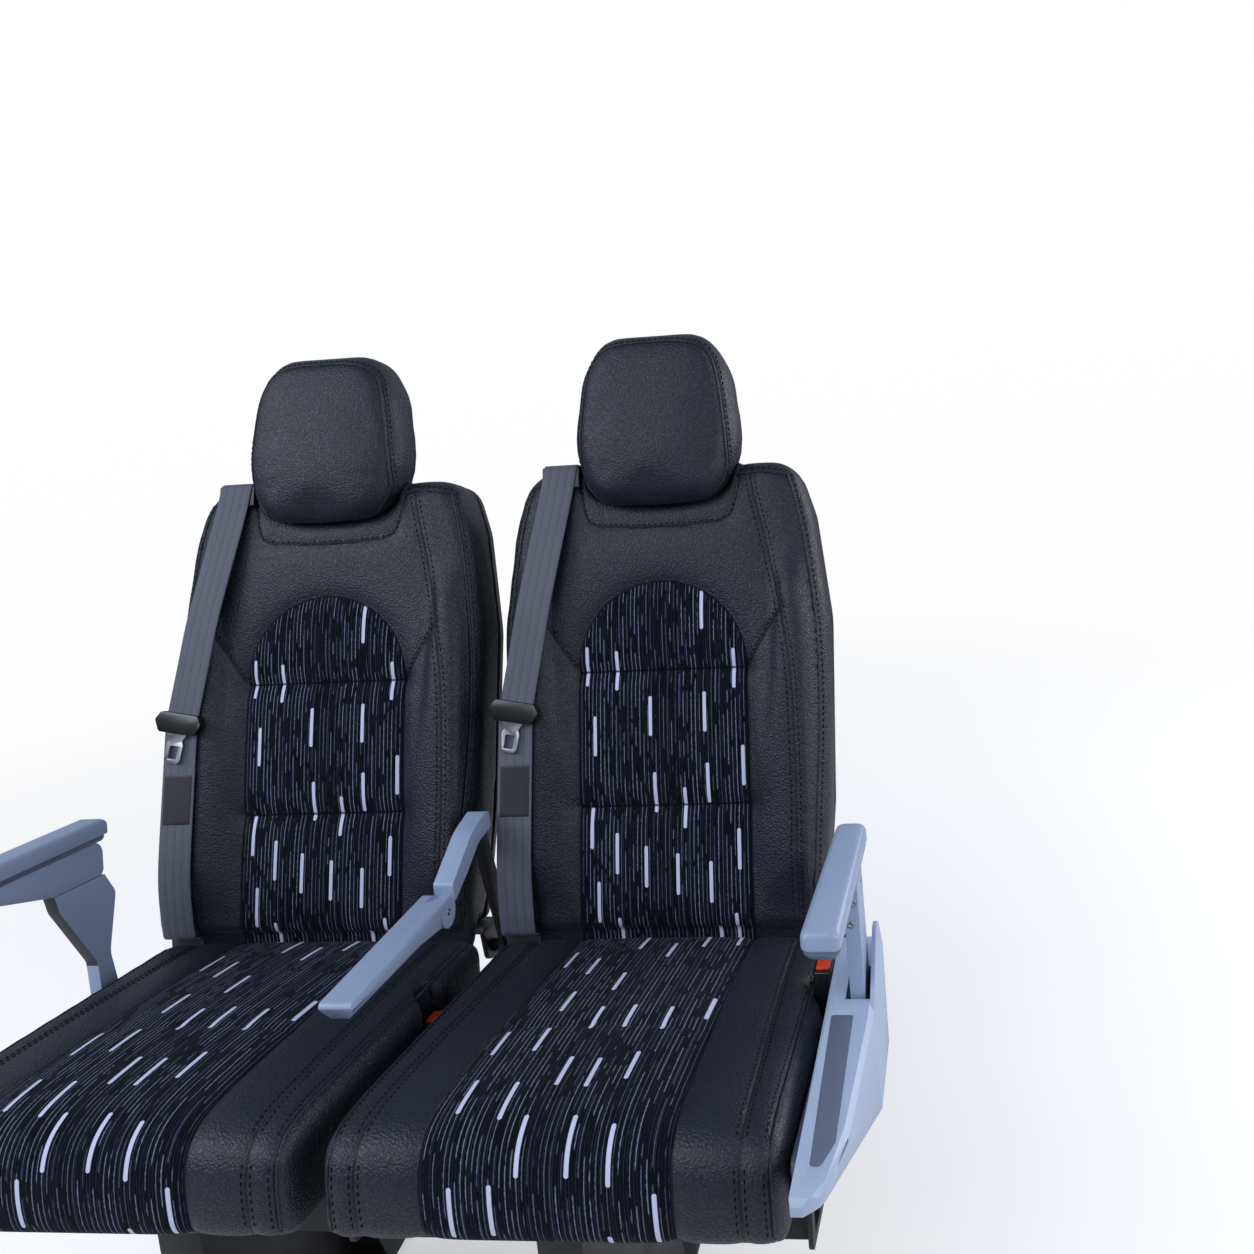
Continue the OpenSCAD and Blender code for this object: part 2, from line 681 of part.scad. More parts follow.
module centre_arm_pin() {
    color("silver") cross_pin(centre_pivot_y, centre_pivot_z, arm_pin_d,
        -boss_half, boss_half);
}

// Aisle armrest

cap_rear_y = crease_y - aisle_cap_fwd + 10;
cap_h = 20;
base_h = 8;
post_x0 = frame_half + 28;
post_x1 = post_x0 + 16;
post_front_y = cap_rear_y - 54;
post_rear_y = cap_rear_y - 3;
cap_under_z = aisle_arm_top_z - cap_h - base_h;
// The lowered post ends inside the side cover
post_low_z = cover_top_z - cover_h + aisle_arm_travel + 6;
slot_gap = 5;

// The cap's outline from above, set in by a margin
function cap_plan(m) = rounded([[post_x0 - 8 + m, cap_rear_y - m, 7],
    [post_x0 - 20 + m, cap_rear_y - aisle_cap_len + m, 9],
    [post_x1 + 2 - m, cap_rear_y - aisle_cap_len + m, 9], [post_x1 + 9 - m, cap_rear_y - m, 7]]);

module aisle_arm_cap() {
    color(light_grey) hull() {
        translate([0, 0, cap_under_z + base_h]) linear_extrude(cap_h - 6) polygon(cap_plan(0));
        translate([0, 0, cap_under_z + base_h]) linear_extrude(cap_h) polygon(cap_plan(4));
    }
}

module aisle_arm_base() {
    color(mid_grey) hull() {
        translate([0, 0, cap_under_z]) linear_extrude(base_h) polygon(cap_plan(4));
        translate([0, 0, cap_under_z + base_h / 2]) linear_extrude(base_h / 2)
            polygon(cap_plan(1.5));
    }
}

module aisle_arm_post() {
    color(light_grey) side_slab(rounded([[post_front_y, post_low_z, 5],
        [post_rear_y, post_low_z, 5], [post_rear_y, cap_under_z, 0],
        [post_front_y, cap_under_z, 0]]), post_x0, post_x1);
}

guide_wall = 3;
ear_w = 24;          // width of the guide's ear on the side plate
ear_y = post_front_y - guide_wall;
shelf_h = 12;        // height of the shelf from the ear to the guide

// The sleeve that the post slides in, with an ear on the side plate
module aisle_arm_guide() {
    top = cover_top_z - cover_wall - 2;
    ear_low_z = plate_mid_z(crease_y - ear_y) - 12;
    post_t = post_x1 - post_x0;
    post_w = post_rear_y - post_front_y;
    color(black_paint) difference() {
        union() {
            translate([post_x0 - guide_wall, ear_y, post_low_z])
                cube([post_t + 2 * guide_wall, post_w + 2 * guide_wall, top - post_low_z]);
            translate([frame_half, ear_y, post_low_z])
                cube([post_x0 - frame_half, ear_w, shelf_h]);
            translate([frame_half, ear_y, ear_low_z])
                cube([guide_wall, ear_w, post_low_z + shelf_h - ear_low_z]);
        }
        translate([post_x0 - slide_gap, post_front_y - slide_gap, post_low_z - 1])
            cube([post_t + 2 * slide_gap, post_w + 2 * slide_gap, top - post_low_z + 2]);
    }
}

// The moulded cover beside the aisle cushion

cover_x0 = frame_half + 4;
cover_x1 = frame_half + 54;
cover_rear_y = crease_y - 88;
cover_front_y = crease_y - 497;
cover_low_z = cover_top_z - cover_h;
upstand_t = 4.5;
upstand_h = 44;
inset_t = 2;
inset_rear_y = crease_y - 240;
inset_front_y = crease_y - 456;
inset_rows = [[cover_x0 + 7, inset_rear_y, 3], [cover_x0 + 11, inset_front_y, 4],
    [cover_x0 + 21, inset_front_y, 6], [cover_x1 - 19, inset_front_y + 30, 8],
    [cover_x1 - 20, inset_rear_y, 3]];
cover_bevel = 5;     // bevel all round the cover's top
cover_rim = 14;      // height of the cover's edge at its nose
housing_y = post_front_y - 12;   // front of the housing that the post slides down into

// The cover's outline from above, set in by a margin
function cover_plan(m) = rounded([[cover_x0 + m, cover_rear_y - m, 6],
    [cover_x0 + 4 + m, cover_front_y + m, 6], [cover_x0 + 24, cover_front_y + m, 30],
    [cover_x1 - 8 - m, cover_front_y + 90, 90], [cover_x1 - m, housing_y - 30, 60],
    [cover_x1 - m, cover_rear_y - m, 8]]);

module cover_body(m) {
    hull() {
        translate([0, 0, cover_top_z - cover_rim + m / 2])
            linear_extrude(cover_rim - cover_bevel - m / 2) polygon(cover_plan(m));
        translate([0, 0, cover_top_z - cover_rim + m / 2])
            linear_extrude(cover_rim - 3 * m / 2) polygon(cover_plan(m + cover_bevel));
        translate([cover_x0 + m, housing_y + m, cover_low_z + m])
            cube([cover_x1 - cover_x0 - 2 * m, cover_rear_y - housing_y - 20 - 2 * m, cover_rim]);
    }
}

module aisle_cover() {
    color(light_grey) {
        difference() {
            cover_body(0);
            cover_body(cover_wall);
            // The window that the guide's shelf passes through
            translate([cover_x0 - 1, ear_y - 1, post_low_z - 1])
                cube([cover_wall + 2, ear_w + 2, shelf_h + 2]);
            translate([post_x0 - slot_gap, post_front_y - slot_gap, cover_top_z - 20])
                cube([post_x1 - post_x0 + 2 * slot_gap,
                    post_rear_y - post_front_y + 2 * slot_gap, 30]);
            // The opening under the housing
            translate([cover_x0 + cover_wall, housing_y + cover_wall, cover_low_z - 1])
                cube([cover_x1 - cover_x0 - 2 * cover_wall,
                    post_rear_y - housing_y + slot_gap, cover_wall + 2]);
            translate([0, 0, cover_top_z - inset_t]) linear_extrude(5)
                polygon(rounded(inset_rows));
        }
        side_slab(rounded([[cover_rear_y - 10, cover_top_z - cover_rim + 1, 0],
            [cover_rear_y - 10, cover_top_z - 4, 4],
            [cover_rear_y - 40, cover_top_z + upstand_h, 30],
            [cover_rear_y - 62, cover_top_z + upstand_h, 12],
            [post_front_y - 20, cover_top_z - 6, 0],
            [post_front_y - 20, cover_top_z - cover_rim + 1, 0]]),
            cover_x1 - upstand_t, cover_x1);
        // The bosses that carry the cover on the guide's ear and on the trim
        cross_pin(ear_y + ear_w / 2, cover_top_z - 75, 18, frame_half + guide_wall, cover_x0 + 5);
        cross_pin(crease_y - beam_front, cover_top_z - 56, 18, frame_half, cover_x0 + 5);
    }
}

module aisle_cover_inset() {
    color(mid_grey) translate([0, 0, cover_top_z - inset_t]) linear_extrude(inset_t)
        polygon(rounded(inset_rows));
}

module aisle_trim() {
    trim_t = 6;
    top = -24;
    color(dark_grey) in_seat() side_slab(rounded([[-beam_front - 100, top, 8],
        [-beam_front - 60, pan_top + 2, 20], [-beam_rear - 120, pan_top + 2, 0],
        [-beam_rear - 130, top, 4]]), frame_half - trim_t, frame_half);
}

// Window armrest: a fixed arm on a bracket outside the window side plate

w_in = -frame_half - 8;          // inner face of the arm
w_out = w_in - 16;
w_rear_y = crease_y - 55;
w_rear_z = 568;

module in_window_arm() {
    translate([0, w_rear_y, w_rear_z]) rotate([-window_arm_rise, 0, 0]) children();
}

// A point [y, z] of the window armrest, carried from its sloped frame to the row's
function arm_point(y, z) =
    [w_rear_y + y * cos(window_arm_rise) + z * sin(window_arm_rise),
     w_rear_z - y * sin(window_arm_rise) + z * cos(window_arm_rise)];

body_rear_z = -17;               // underside of the arm's body at its rear end
body_mid = [-86, -16];           // where the underside turns up
neck_y = crease_y - 94;          // front of the bracket's neck
neck_z = crease_z + 30;
neck_w = 24;
w_foot_w = 46;
w_foot_y = crease_y - 100;       // front of the bracket's foot
w_boss_d = 34;
cap_over = 10;                   // how far the cap stands out past the arm's outer side

module window_arm_bracket() {
    foot_z = crease_z + beam_low + 20;
    front = arm_point(body_mid[0], body_mid[1] - clear);
    rear = arm_point(0, body_rear_z - clear);
    color(light_grey) {
        side_slab(rounded([[neck_y, neck_z, 20], [front[0] + 4, front[1] - 22, 20],
            [front[0], front[1], 0], [rear[0], rear[1], 0], [rear[0] + 14, rear[1] - 30, 14],
            [neck_y + neck_w, neck_z, 30], [w_foot_y + w_foot_w, foot_z, 6],
            [w_foot_y, foot_z, 6]]), w_out, w_in);
        cross_pin(w_foot_y + w_foot_w / 2, plate_mid_z(crease_y - w_foot_y - w_foot_w / 2),
            w_boss_d, w_in - 1, -frame_half);
    }
}

module window_arm_body() {
    color(light_grey) in_window_arm() side_slab(rounded([[0, body_rear_z, 8],
        [0, 26, 16], [-window_cap_len + 62, 26, 0], [-window_cap_len + 8, 26, 4],
        [-window_cap_len + 18, 11, 12], [body_mid[0], body_mid[1], 30]]), w_out, w_in);
}

module window_arm_base() {
    color(mid_grey) in_window_arm() hull() {
        side_slab([[-4, 26], [-4, 30], [-window_cap_len + 6, 30], [-window_cap_len + 10, 26]],
            w_out - 2, w_in + 2);
        side_slab([[-2, 30], [-2, 34], [-window_cap_len + 2, 34], [-window_cap_len + 2, 30]],
            w_out - 6, w_in + 4);
    }
}

module window_arm_cap() {
    color(light_grey) in_window_arm() hull() {
        side_slab(rounded([[0, 34, 2], [0, 51, 6], [-window_cap_len, 51, 6],
            [-window_cap_len, 34, 2]]), w_out - cap_over, w_in + cap_over - 2);
        side_slab(rounded([[-3, 34, 2], [-3, 54, 6], [-window_cap_len + 3, 54, 6],
            [-window_cap_len + 3, 34, 2]]), w_out - cap_over + 3, w_in + cap_over - 5);
    }
}

leg(-leg_pitch / 2, -1);  // leg_window
leg(leg_pitch / 2, 1);  // leg_aisle
beam(beam_front);  // front_beam
beam(beam_rear);  // rear_beam
outer_plate(-1);  // side_plate_window
centre_plate();  // side_plate_centre
outer_plate(1);  // side_plate_aisle
for (i = [0, 1]) {
    x = i == 0 ? window_x : aisle_x;
    s = SIDES[i];
    pan(x);
    cushion(x);
    back_pad(x);
    back_shell(x);
    back_carrier(x);
    back_pocket(x);
    headrest(x);
    headrest_rods(x);
    headrest_sleeves(x);
    belt_guide(x);
    belt_webbing(x);
    belt_tongue(x);
    belt_tail(x);
    belt_anchor(x);
    buckle(x, buckle_tops[i]);
    buckle_stalk(x, i == 0 ? -centre_plate_t / 2 : frame_half - plate_t, buckle_tops[i]);
}
buckle_buttons();
centre_arm_stub();
centre_arm();
centre_arm_pin();
aisle_arm_cap();
aisle_arm_base();
aisle_arm_post();
aisle_arm_guide();
aisle_cover();
aisle_cover_inset();
aisle_trim();
window_arm_bracket();
window_arm_body();
window_arm_base();
window_arm_cap();
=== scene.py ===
"""Twin coach passenger seat: trim covers, belts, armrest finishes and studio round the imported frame."""

from functools import partial
from math import cos, pi, radians, sin

import bmesh
import bpy
import numpy as np
from bpy.props import FloatProperty, FloatVectorProperty, IntProperty, PointerProperty
from mathutils import Matrix, Vector
from mathutils.bvhtree import BVHTree


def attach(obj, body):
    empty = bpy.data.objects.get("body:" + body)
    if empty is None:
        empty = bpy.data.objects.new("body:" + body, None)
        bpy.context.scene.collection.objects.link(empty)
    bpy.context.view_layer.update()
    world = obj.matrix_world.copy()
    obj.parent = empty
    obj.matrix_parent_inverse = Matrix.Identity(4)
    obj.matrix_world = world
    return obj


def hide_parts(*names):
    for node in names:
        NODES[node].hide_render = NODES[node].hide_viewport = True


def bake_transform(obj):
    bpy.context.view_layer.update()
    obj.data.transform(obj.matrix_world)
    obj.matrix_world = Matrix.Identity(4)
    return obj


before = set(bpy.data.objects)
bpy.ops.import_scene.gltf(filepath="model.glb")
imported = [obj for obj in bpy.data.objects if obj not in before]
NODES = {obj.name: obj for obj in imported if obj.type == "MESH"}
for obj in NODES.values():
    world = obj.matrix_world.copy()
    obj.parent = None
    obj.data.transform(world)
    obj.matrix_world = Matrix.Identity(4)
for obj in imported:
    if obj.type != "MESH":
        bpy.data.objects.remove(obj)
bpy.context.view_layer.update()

bl_info = {
    "name": "Twin coach seat trim",
    "version": (1, 0, 0),
    "blender": (4, 5, 0),
    "location": "3D View > Sidebar > Coach seat",
    "description": "Builds a twin coach passenger seat's covers and belts and finishes its other pieces",
    "category": "Add Mesh",
}

MM = 0.001

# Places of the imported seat, in metres: the seats' middles, the crease and the two slopes
SEATS = {"window": -0.230, "aisle": 0.230}
CREASE_Y = 0.150
CREASE_Z = 0.424
LEAN = radians(18.0)
SLOPE = radians(8.0)

# Backrest, in its own frame: x from the seat's middle, y back through the padding, s up it
PAD_T = 0.075
SHOULDER_S = 0.592
HEAD_LOW_S = 0.541
HEAD_TOP_S = 0.768
INSERT_HALF = 0.111
ARCH_S = 0.329
BELT_TOP_X = 0.131
BELT_TONGUE_X = 0.186
BELT_TONGUE_S = 0.281
GRIP_LOW = 0.0125
ROD_X = 0.058

# Cushion, in its own frame: x from the middle, y back along the slope, z up from the crease
CUSHION_LEN = 0.462
CUSHION_T = 0.096
LIP_R = 0.044

# Sewing: the step along a seam, how far it holds a cover still, how far it draws points onto it, and a
# distance that stands for far off
STEP = 4 * MM
HELD = 4 * MM
SNAP = 1.6 * MM
FAR = 0.05

# How deep and how wide, in millimetres, each seam draws its cover in
BACK_VALLEYS = {"arch": (5.5, 9.0), "rib": (7.5, 12.0), "wing": (2.4, 6.0), "twin": (3.2, 7.0),
                "welt": (2.2, 6.0), "yoke": (3.4, 8.0), "shoulder": (1.6, 5.0)}
CUSHION_VALLEYS = ((4.6, 9.0), (3.0, 6.5), (2.2, 6.0))
CROSS_VALLEY = (1.8, 8.0)
HEAD_VALLEY = (3.0, 4.0)

# How far the covers leave their solids: the backrest's foot down, its lip up and up again before the rods,
# the cushion's crown up and its side borders down, and the headrest's lower front down
TUCK = 34 * MM
LIP_RISE = 14 * MM
COLLAR_RISE = 12 * MM
CROWN = 12 * MM
BORDER_DROP = 9 * MM
HANG = 9 * MM

# The cushion's cross seam
CROSS_Y = -0.262

# A CAD mesh's loose triangles are merged within this distance
MERGE = 0.02 * MM


def linear(code):
    """An sRGB hex colour as linear red, green, blue and full opacity."""
    parts = [int(code[i:i + 2], 16) / 255 for i in (1, 3, 5)]
    return [p / 12.92 if p <= 0.04045 else ((p + 0.055) / 1.055) ** 2.4 for p in parts] + [1.0]


def from_row(points, angle, x0=SEATS["window"]):
    """Row frame to a seat's own frame: shifted to the crease, then turned back by the lean or slope."""
    x, y, z = points.T
    y, z = y - CREASE_Y, z - CREASE_Z
    return np.stack([x - x0, y * cos(angle) - z * sin(angle), y * sin(angle) + z * cos(angle)], 1)


def to_row(points, angle, x0=SEATS["window"]):
    """A seat's own frame to the row frame: turned by the lean or slope about X, then moved to the crease."""
    x, y, z = points.T
    return np.stack([x + x0, y * cos(angle) + z * sin(angle) + CREASE_Y,
                     z * cos(angle) - y * sin(angle) + CREASE_Z], 1)


# Mesh helpers

def numbers_of(items, key):
    """One whole number for each item of a mesh."""
    values = np.zeros(len(items), np.int32)
    items.foreach_get(key, values)
    return values


def rows_of(items, key):
    """A row of x, y, z for each item of a mesh."""
    values = np.zeros(len(items) * 3, np.float32)
    items.foreach_get(key, values)
    return values.reshape(-1, 3).astype(float)


def points_of(obj):
    """The mesh's points as rows of x, y, z."""
    return rows_of(obj.data.vertices, "co")


def put_points(obj, points):
    """Writes rows of x, y, z back into the mesh."""
    obj.data.vertices.foreach_set("co", np.asarray(points, np.float32).ravel())
    obj.data.update()


def put_attribute(obj, name, kind, values):
    """A value, or a vector, for each point of the mesh, for its material to read."""
    layer = obj.data.attributes.new(name, kind, "POINT")
    key = "vector" if kind == "FLOAT_VECTOR" else "value"
    layer.data.foreach_set(key, np.asarray(values, np.float32).ravel())


def coat(obj, *materials):
    """Gives a piece its materials, in the order of its slots, and smooth shading."""
    obj.data.materials.clear()
    for material in materials:
        obj.data.materials.append(material)
    obj.data.polygons.foreach_set("use_smooth", np.ones(len(obj.data.polygons), bool))


def mesh_object(name, points, faces, material, uv=None):
    """A new object from rows of points and rows of face corners, with a UV row for each point if given."""
    mesh = bpy.data.meshes.new(name)
    mesh.from_pydata(np.asarray(points).tolist(), [], np.asarray(faces).tolist())
    if uv is not None:
        corners = numbers_of(mesh.loops, "vertex_index")
        layer = mesh.uv_layers.new(name="UVMap")
        layer.data.foreach_set("uv", np.asarray(uv, np.float32)[corners].ravel())
    obj = bpy.data.objects.new(name, mesh)
    bpy.context.scene.collection.objects.link(obj)
    coat(obj, material)
    return obj


def modify(obj, name, kind, **settings):
    """Adds a modifier with its settings."""
    modifier = obj.modifiers.new(name, kind)
    for key, value in settings.items():
        setattr(modifier, key, value)
    return modifier


def settle(obj):
    """Makes a piece's modifiers part of its mesh."""
    graph = bpy.context.evaluated_depsgraph_get()
    mesh = bpy.data.meshes.new_from_object(obj.evaluated_get(graph))
    obj.modifiers.clear()
    obj.data = mesh


def cad_copy(node, name):
    """A merged copy of a CAD node's mesh, as a new object."""
    obj = bpy.data.objects.new(name, NODES[node].data.copy())
    bpy.context.scene.collection.objects.link(obj)
    work = bmesh.new()
    work.from_mesh(obj.data)
    bmesh.ops.remove_doubles(work, verts=work.verts, dist=MERGE)
    work.to_mesh(obj.data)
    work.free()
    return obj


def grid_faces(rows, columns, closed=False):
    """Four-cornered faces over a grid of points; closed joins the last column to the first."""
    r, c = np.meshgrid(np.arange(rows - 1), np.arange(columns if closed else columns - 1), indexing="ij")
    n = (c + 1) % columns
    return np.stack([r * columns + c, r * columns + n, (r + 1) * columns + n, (r + 1) * columns + c],
                    -1).reshape(-1, 4)


def joined(parts):
    """The points and faces of several shapes as those of one: each shape's corners count on from the
    last's."""
    points, faces = zip(*parts)
    starts = np.cumsum([0] + [len(rows) for rows in points[:-1]])
    return np.vstack(points), np.vstack([corners + start for corners, start in zip(faces, starts)])


def tube(path, radius, sides=10):
    """A tube round a path: at each point a circle of that radius across the path's direction."""
    path = np.asarray(path, float)
    along = np.gradient(path, axis=0)
    along /= np.linalg.norm(along, axis=1, keepdims=True)
    across = np.cross(along, [0.31, 0.52, 0.79])
    across /= np.linalg.norm(across, axis=1, keepdims=True)
    up = np.cross(along, across)
    turn = np.linspace(0, 2 * pi, sides, endpoint=False)
    ring = (path[:, None] + radius * (np.cos(turn)[None, :, None] * across[:, None]
                                      + np.sin(turn)[None, :, None] * up[:, None]))
    return ring.reshape(-1, 3), grid_faces(len(path), sides, closed=True)[:, ::-1]


def run_along(path):
    """Each point's distance along a path from its start."""
    return np.concatenate([[0], np.cumsum(np.linalg.norm(np.diff(path, axis=0), axis=1))])


def sample(at, run, rows):
    """The rows at these distances along a path, by straight interpolation."""
    return np.stack([np.interp(at, run, column) for column in rows.T], 1)


def even_path(points, step=STEP):
    """The same polyline with points at an even step."""
    path = np.asarray(points, float)
    run = run_along(path)
    at = np.linspace(0, run[-1], max(2, int(round(run[-1] / step)) + 1))
    return sample(at, run, path)


def smooth_path(points, step=STEP):
    """A Catmull-Rom curve through the points, resampled at an even step."""
    p = np.asarray(points, float)
    p = np.vstack([2 * p[0] - p[1], p, 2 * p[-1] - p[-2]])
    t = np.linspace(0, 1, 24, endpoint=False)[:, None]
    pieces = [0.5 * (2 * b + (c - a) * t + (2 * a - 5 * b + 4 * c - d) * t ** 2
                     + (3 * b - a - 3 * c + d) * t ** 3)
              for a, b, c, d in zip(p[:-3], p[1:-2], p[2:-1], p[3:])]
    return even_path(np.vstack(pieces + [p[-2:-1]]), step)


def nearest_on(points, path):
    """Each 2-D point's distance and way to a 2-D polyline: the shortest over its segments."""
    far = np.full(len(points), np.inf)
    way = np.zeros((len(points), 2))
    for a, b in zip(path[:-1], path[1:]):
        d = b - a
        t = np.clip(((points - a) @ d) / max(d @ d, 1e-12), 0, 1)
        step = a + t[:, None] * d - points
        size = np.hypot(step[:, 0], step[:, 1])
        closer = size < far
        far[closer] = size[closer]
        way[closer] = step[closer]
    return far, way


def draw_to(local, chosen, path):
    """Moves the chosen points that lie close to a seam onto it, in x and s, so that its line is unbroken.
    Gives back each point's distance to the seam."""
    far, way = nearest_on(local[:, [0, 2]], path)
    far = np.where(chosen, far, FAR)
    near = far < SNAP
    local[near, 0] += way[near, 0]
    local[near, 2] += way[near, 1]
    return np.where(near, 0.0, far)


def step_up(x, low, high):
    """0 below low, 1 above high and smooth between."""
    t = np.clip((x - low) / (high - low), 0, 1)
    return t * t * (3 - 2 * t)


# Materials

# For the kinds of node that need it: the sockets that take the values, the output given back and settings
HABITS = {
    "Mix": ((0, 6, 7), 2, {"data_type": "RGBA"}),
    "MapRange": ((0, 1, 2, 3, 4), 0, {"interpolation_type": "SMOOTHSTEP"}),
}


def add_node(tree, kind, *values, give=None, **named):
    """Adds one shader node with its settings and links, and gives back the output asked for. Kind may end in
    the node's operation. A value, or the output that feeds it, goes to the next socket, or to the one that it
    names with a capital; a small name is a setting."""
    kind, _, operation = kind.partition(" ")
    order, output, settings = HABITS.get(kind, (range(len(values)), 0, {}))
    settings = {**settings, **{key: value for key, value in named.items() if key[0].islower()}}
    if operation:
        settings["operation"] = operation
    node = tree.nodes.new("ShaderNode" + kind)
    for key, value in settings.items():
        setattr(node, key, value)
    inputs = {**dict(zip(order, values)), **{key: value for key, value in named.items() if key[0].isupper()}}
    for key, value in inputs.items():
        if isinstance(value, bpy.types.NodeSocket):
            tree.links.new(value, node.inputs[key])
        else:
            node.inputs[key].default_value = value
    return node.outputs[output if give is None else give]


def blank(name, **constants):
    """For a new material whose shader has these constants: the way to add a node to it, and the way to feed
    its shader, which gives back the material."""
    material = bpy.data.materials.new(name)
    material.use_nodes = True
    tree = material.node_tree
    shader = next(n for n in tree.nodes if n.type == "BSDF_PRINCIPLED")
    for key, value in constants.items():
        shader.inputs[key.replace("_", " ")].default_value = value

    def feed(**feeds):
        for key, value in feeds.items():
            tree.links.new(value, shader.inputs[key.replace("_", " ")])
        return material

    return partial(add_node, tree), feed


def tone(colour, level=1.0):
    """A colour at a level of its brightness, with full opacity."""
    return [c * level for c in colour[:3]] + [1.0]


def sewn_crease(put, shade, normal, width, share):
    """The crease of a seam: within the width, the colour goes dark by the share, as painted shade, and the
    surface sinks.
    """
    far = put("Attribute", give="Fac", attribute_name="seam")
    crease = put("MapRange", far, 0.0, width, 1.0, 0.0)
    share = put("Math MULTIPLY", crease, share)
    # Painted shade: a near-black colour in the seam's crease
    shade = put("Mix", share, shade, (0.001, 0.001, 0.002, 1.0))
    flat = put("Math SUBTRACT", 1.0, crease)
    return shade, put("Bump", Height=flat, Distance=1.4 * MM, Strength=1.0, Normal=normal)


def coated_leathercloth(look, name="coated leathercloth, embossed", sewn=True):
    """Polyurethane-coated cloth, embossed with a pebble grain: satin, with painted shade in the creases
    between the pebbles and a soft shine on their tops. The grain is 1.3 mm on the real cloth and drawn at 2.5
    mm, so that it shows."""
    put, feed = blank(name, Metallic=0.0, IOR=1.48, Sheen_Weight=0.02, Sheen_Roughness=0.5, Coat_Weight=0.10,
                      Coat_Roughness=0.35)
    place = put("TexCoord", give="Object")
    wobble = put("TexNoise", Vector=place, Scale=160.0, Detail=1.0, give="Color")
    bent = put("VectorMath MULTIPLY_ADD", wobble, (0.004, 0.004, 0.004), place)
    pebble = put("TexVoronoi", Vector=bent, Scale=1 / (2.5 * MM), Smoothness=0.45, give="Distance",
                 feature="SMOOTH_F1")
    cloudy = put("TexNoise", Vector=place, Scale=9.0, Detail=4.0, Roughness=0.6)
    rubbed = put("TexNoise", Vector=place, Scale=55.0, Detail=3.0, Roughness=0.6)
    deep = put("MapRange", pebble, 0.18, 0.62)
    shade = put("Mix", cloudy, tone(look.leather, 0.80), tone(look.leather, 1.22))
    # Painted shade: the colour goes dark in the creases between the pebbles, by how deep they are
    share = put("Math MULTIPLY", deep, 0.7)
    shade = put("Mix", share, shade, tone(look.leather, 0.2))
    gloss = put("Math MULTIPLY_ADD", rubbed, 0.12, 0.30)
    gloss = put("Math MULTIPLY_ADD", deep, 0.2, gloss)
    raised = put("Math SUBTRACT", 1.0, pebble)
    normal = put("Bump", Height=raised, Distance=0.9 * MM, Strength=1.0)
    normal = put("Bump", Height=rubbed, Distance=0.5 * MM, Strength=0.25, Normal=normal)
    # Painted shade in the seams' creases, which also sink
    if sewn:
        shade, normal = sewn_crease(put, shade, normal, width=1.6 * MM, share=0.9)
    return feed(Base_Color=shade, Roughness=gloss, Normal=normal)


def broken_lines(put, across, along, pitch, seed, fill):
    """Woven lines of one pitch: each column's line wanders a little, is ragged at its edges, and breaks off
    where a noise stretched along the cloth falls under the fill level."""
    column = put("Math MULTIPLY_ADD", across, 1 / pitch, seed)
    number = put("Math FLOOR", column)
    mark = put("Math MULTIPLY", number, 7.31)
    slow = put("Math MULTIPLY", along, 21.0)
    quick = put("Math MULTIPLY", along, 260.0)
    stretch = put("CombineXYZ", mark, slow)
    present = put("TexNoise", Vector=stretch, Scale=1.0, Detail=2.0, Roughness=0.6)
    present = put("MapRange", present, fill, fill + 0.05)
    rough = put("CombineXYZ", mark, quick, seed)
    ragged = put("TexNoise", Vector=rough, Scale=1.0, Detail=1.0, give="Color")
    ragged = put("SeparateColor", ragged, give=0)
    inside = put("Math FRACT", column)
    wander = put("Math MULTIPLY_ADD", ragged, 0.16, -0.58)
    offset = put("Math ADD", inside, wander)
    offset = put("Math ABSOLUTE", offset)
    half = put("Math MULTIPLY_ADD", ragged, 0.16, 0.01)
    edge = put("Math SUBTRACT", half, offset)
    line = put("MapRange", edge, -0.05, 0.05)
    level = put("TexWhiteNoise", W=number, give="Value", noise_dimensions="1D")
    level = put("Math MULTIPLY_ADD", level, 0.75, 0.2)
    line = put("Math MULTIPLY", line, present)
    return put("Math MULTIPLY", line, level)


def dashes(put, across, along):
    """Bright woven dashes: one capsule 4.4 mm wide and 50 mm long in most cells of a staggered lattice."""
    width, height = 38 * MM, 104 * MM

    def off_middle(cells, size, moved, play):
        """How far a place lies from its dash's middle, which is moved by up to half the play either way."""
        at = put("Math FRACT", cells)
        at = put("Math MULTIPLY_ADD", at, size, -0.5 * size)
        at = put("Math MULTIPLY_ADD", moved, -play, at)
        return put("Math ADD", at, 0.5 * play)

    column = put("Math MULTIPLY", across, 1 / width)
    number = put("Math FLOOR", column)
    stagger = put("TexWhiteNoise", W=number, give="Value", noise_dimensions="1D")
    stagger = put("Math MULTIPLY", stagger, 5.0)
    row = put("Math MULTIPLY_ADD", along, 1 / height, stagger)
    level = put("Math FLOOR", row)
    cell = put("CombineXYZ", number, level)
    chance = put("TexWhiteNoise", Vector=cell, give="Value", noise_dimensions="2D")
    moved = put("TexWhiteNoise", Vector=cell, give="Color", noise_dimensions="2D")
    shift_x = put("SeparateColor", moved, give=0)
    shift_y = put("SeparateColor", moved, give=1)
    dx = off_middle(column, width, shift_x, play=20 * MM)
    dy = off_middle(row, height, shift_y, play=36 * MM)
    dy = put("Math ABSOLUTE", dy)
    dy = put("Math SUBTRACT", dy, 22.8 * MM)
    dy = put("Math MAXIMUM", dy, 0.0)
    spot = put("CombineXYZ", dx, dy)
    reach = put("VectorMath LENGTH", spot, give="Value")
    shape = put("MapRange", reach, 1.9 * MM, 2.5 * MM, 1.0, 0.0)
    there = put("Math GREATER_THAN", chance, 0.22)
    return put("Math MULTIPLY", shape, there)


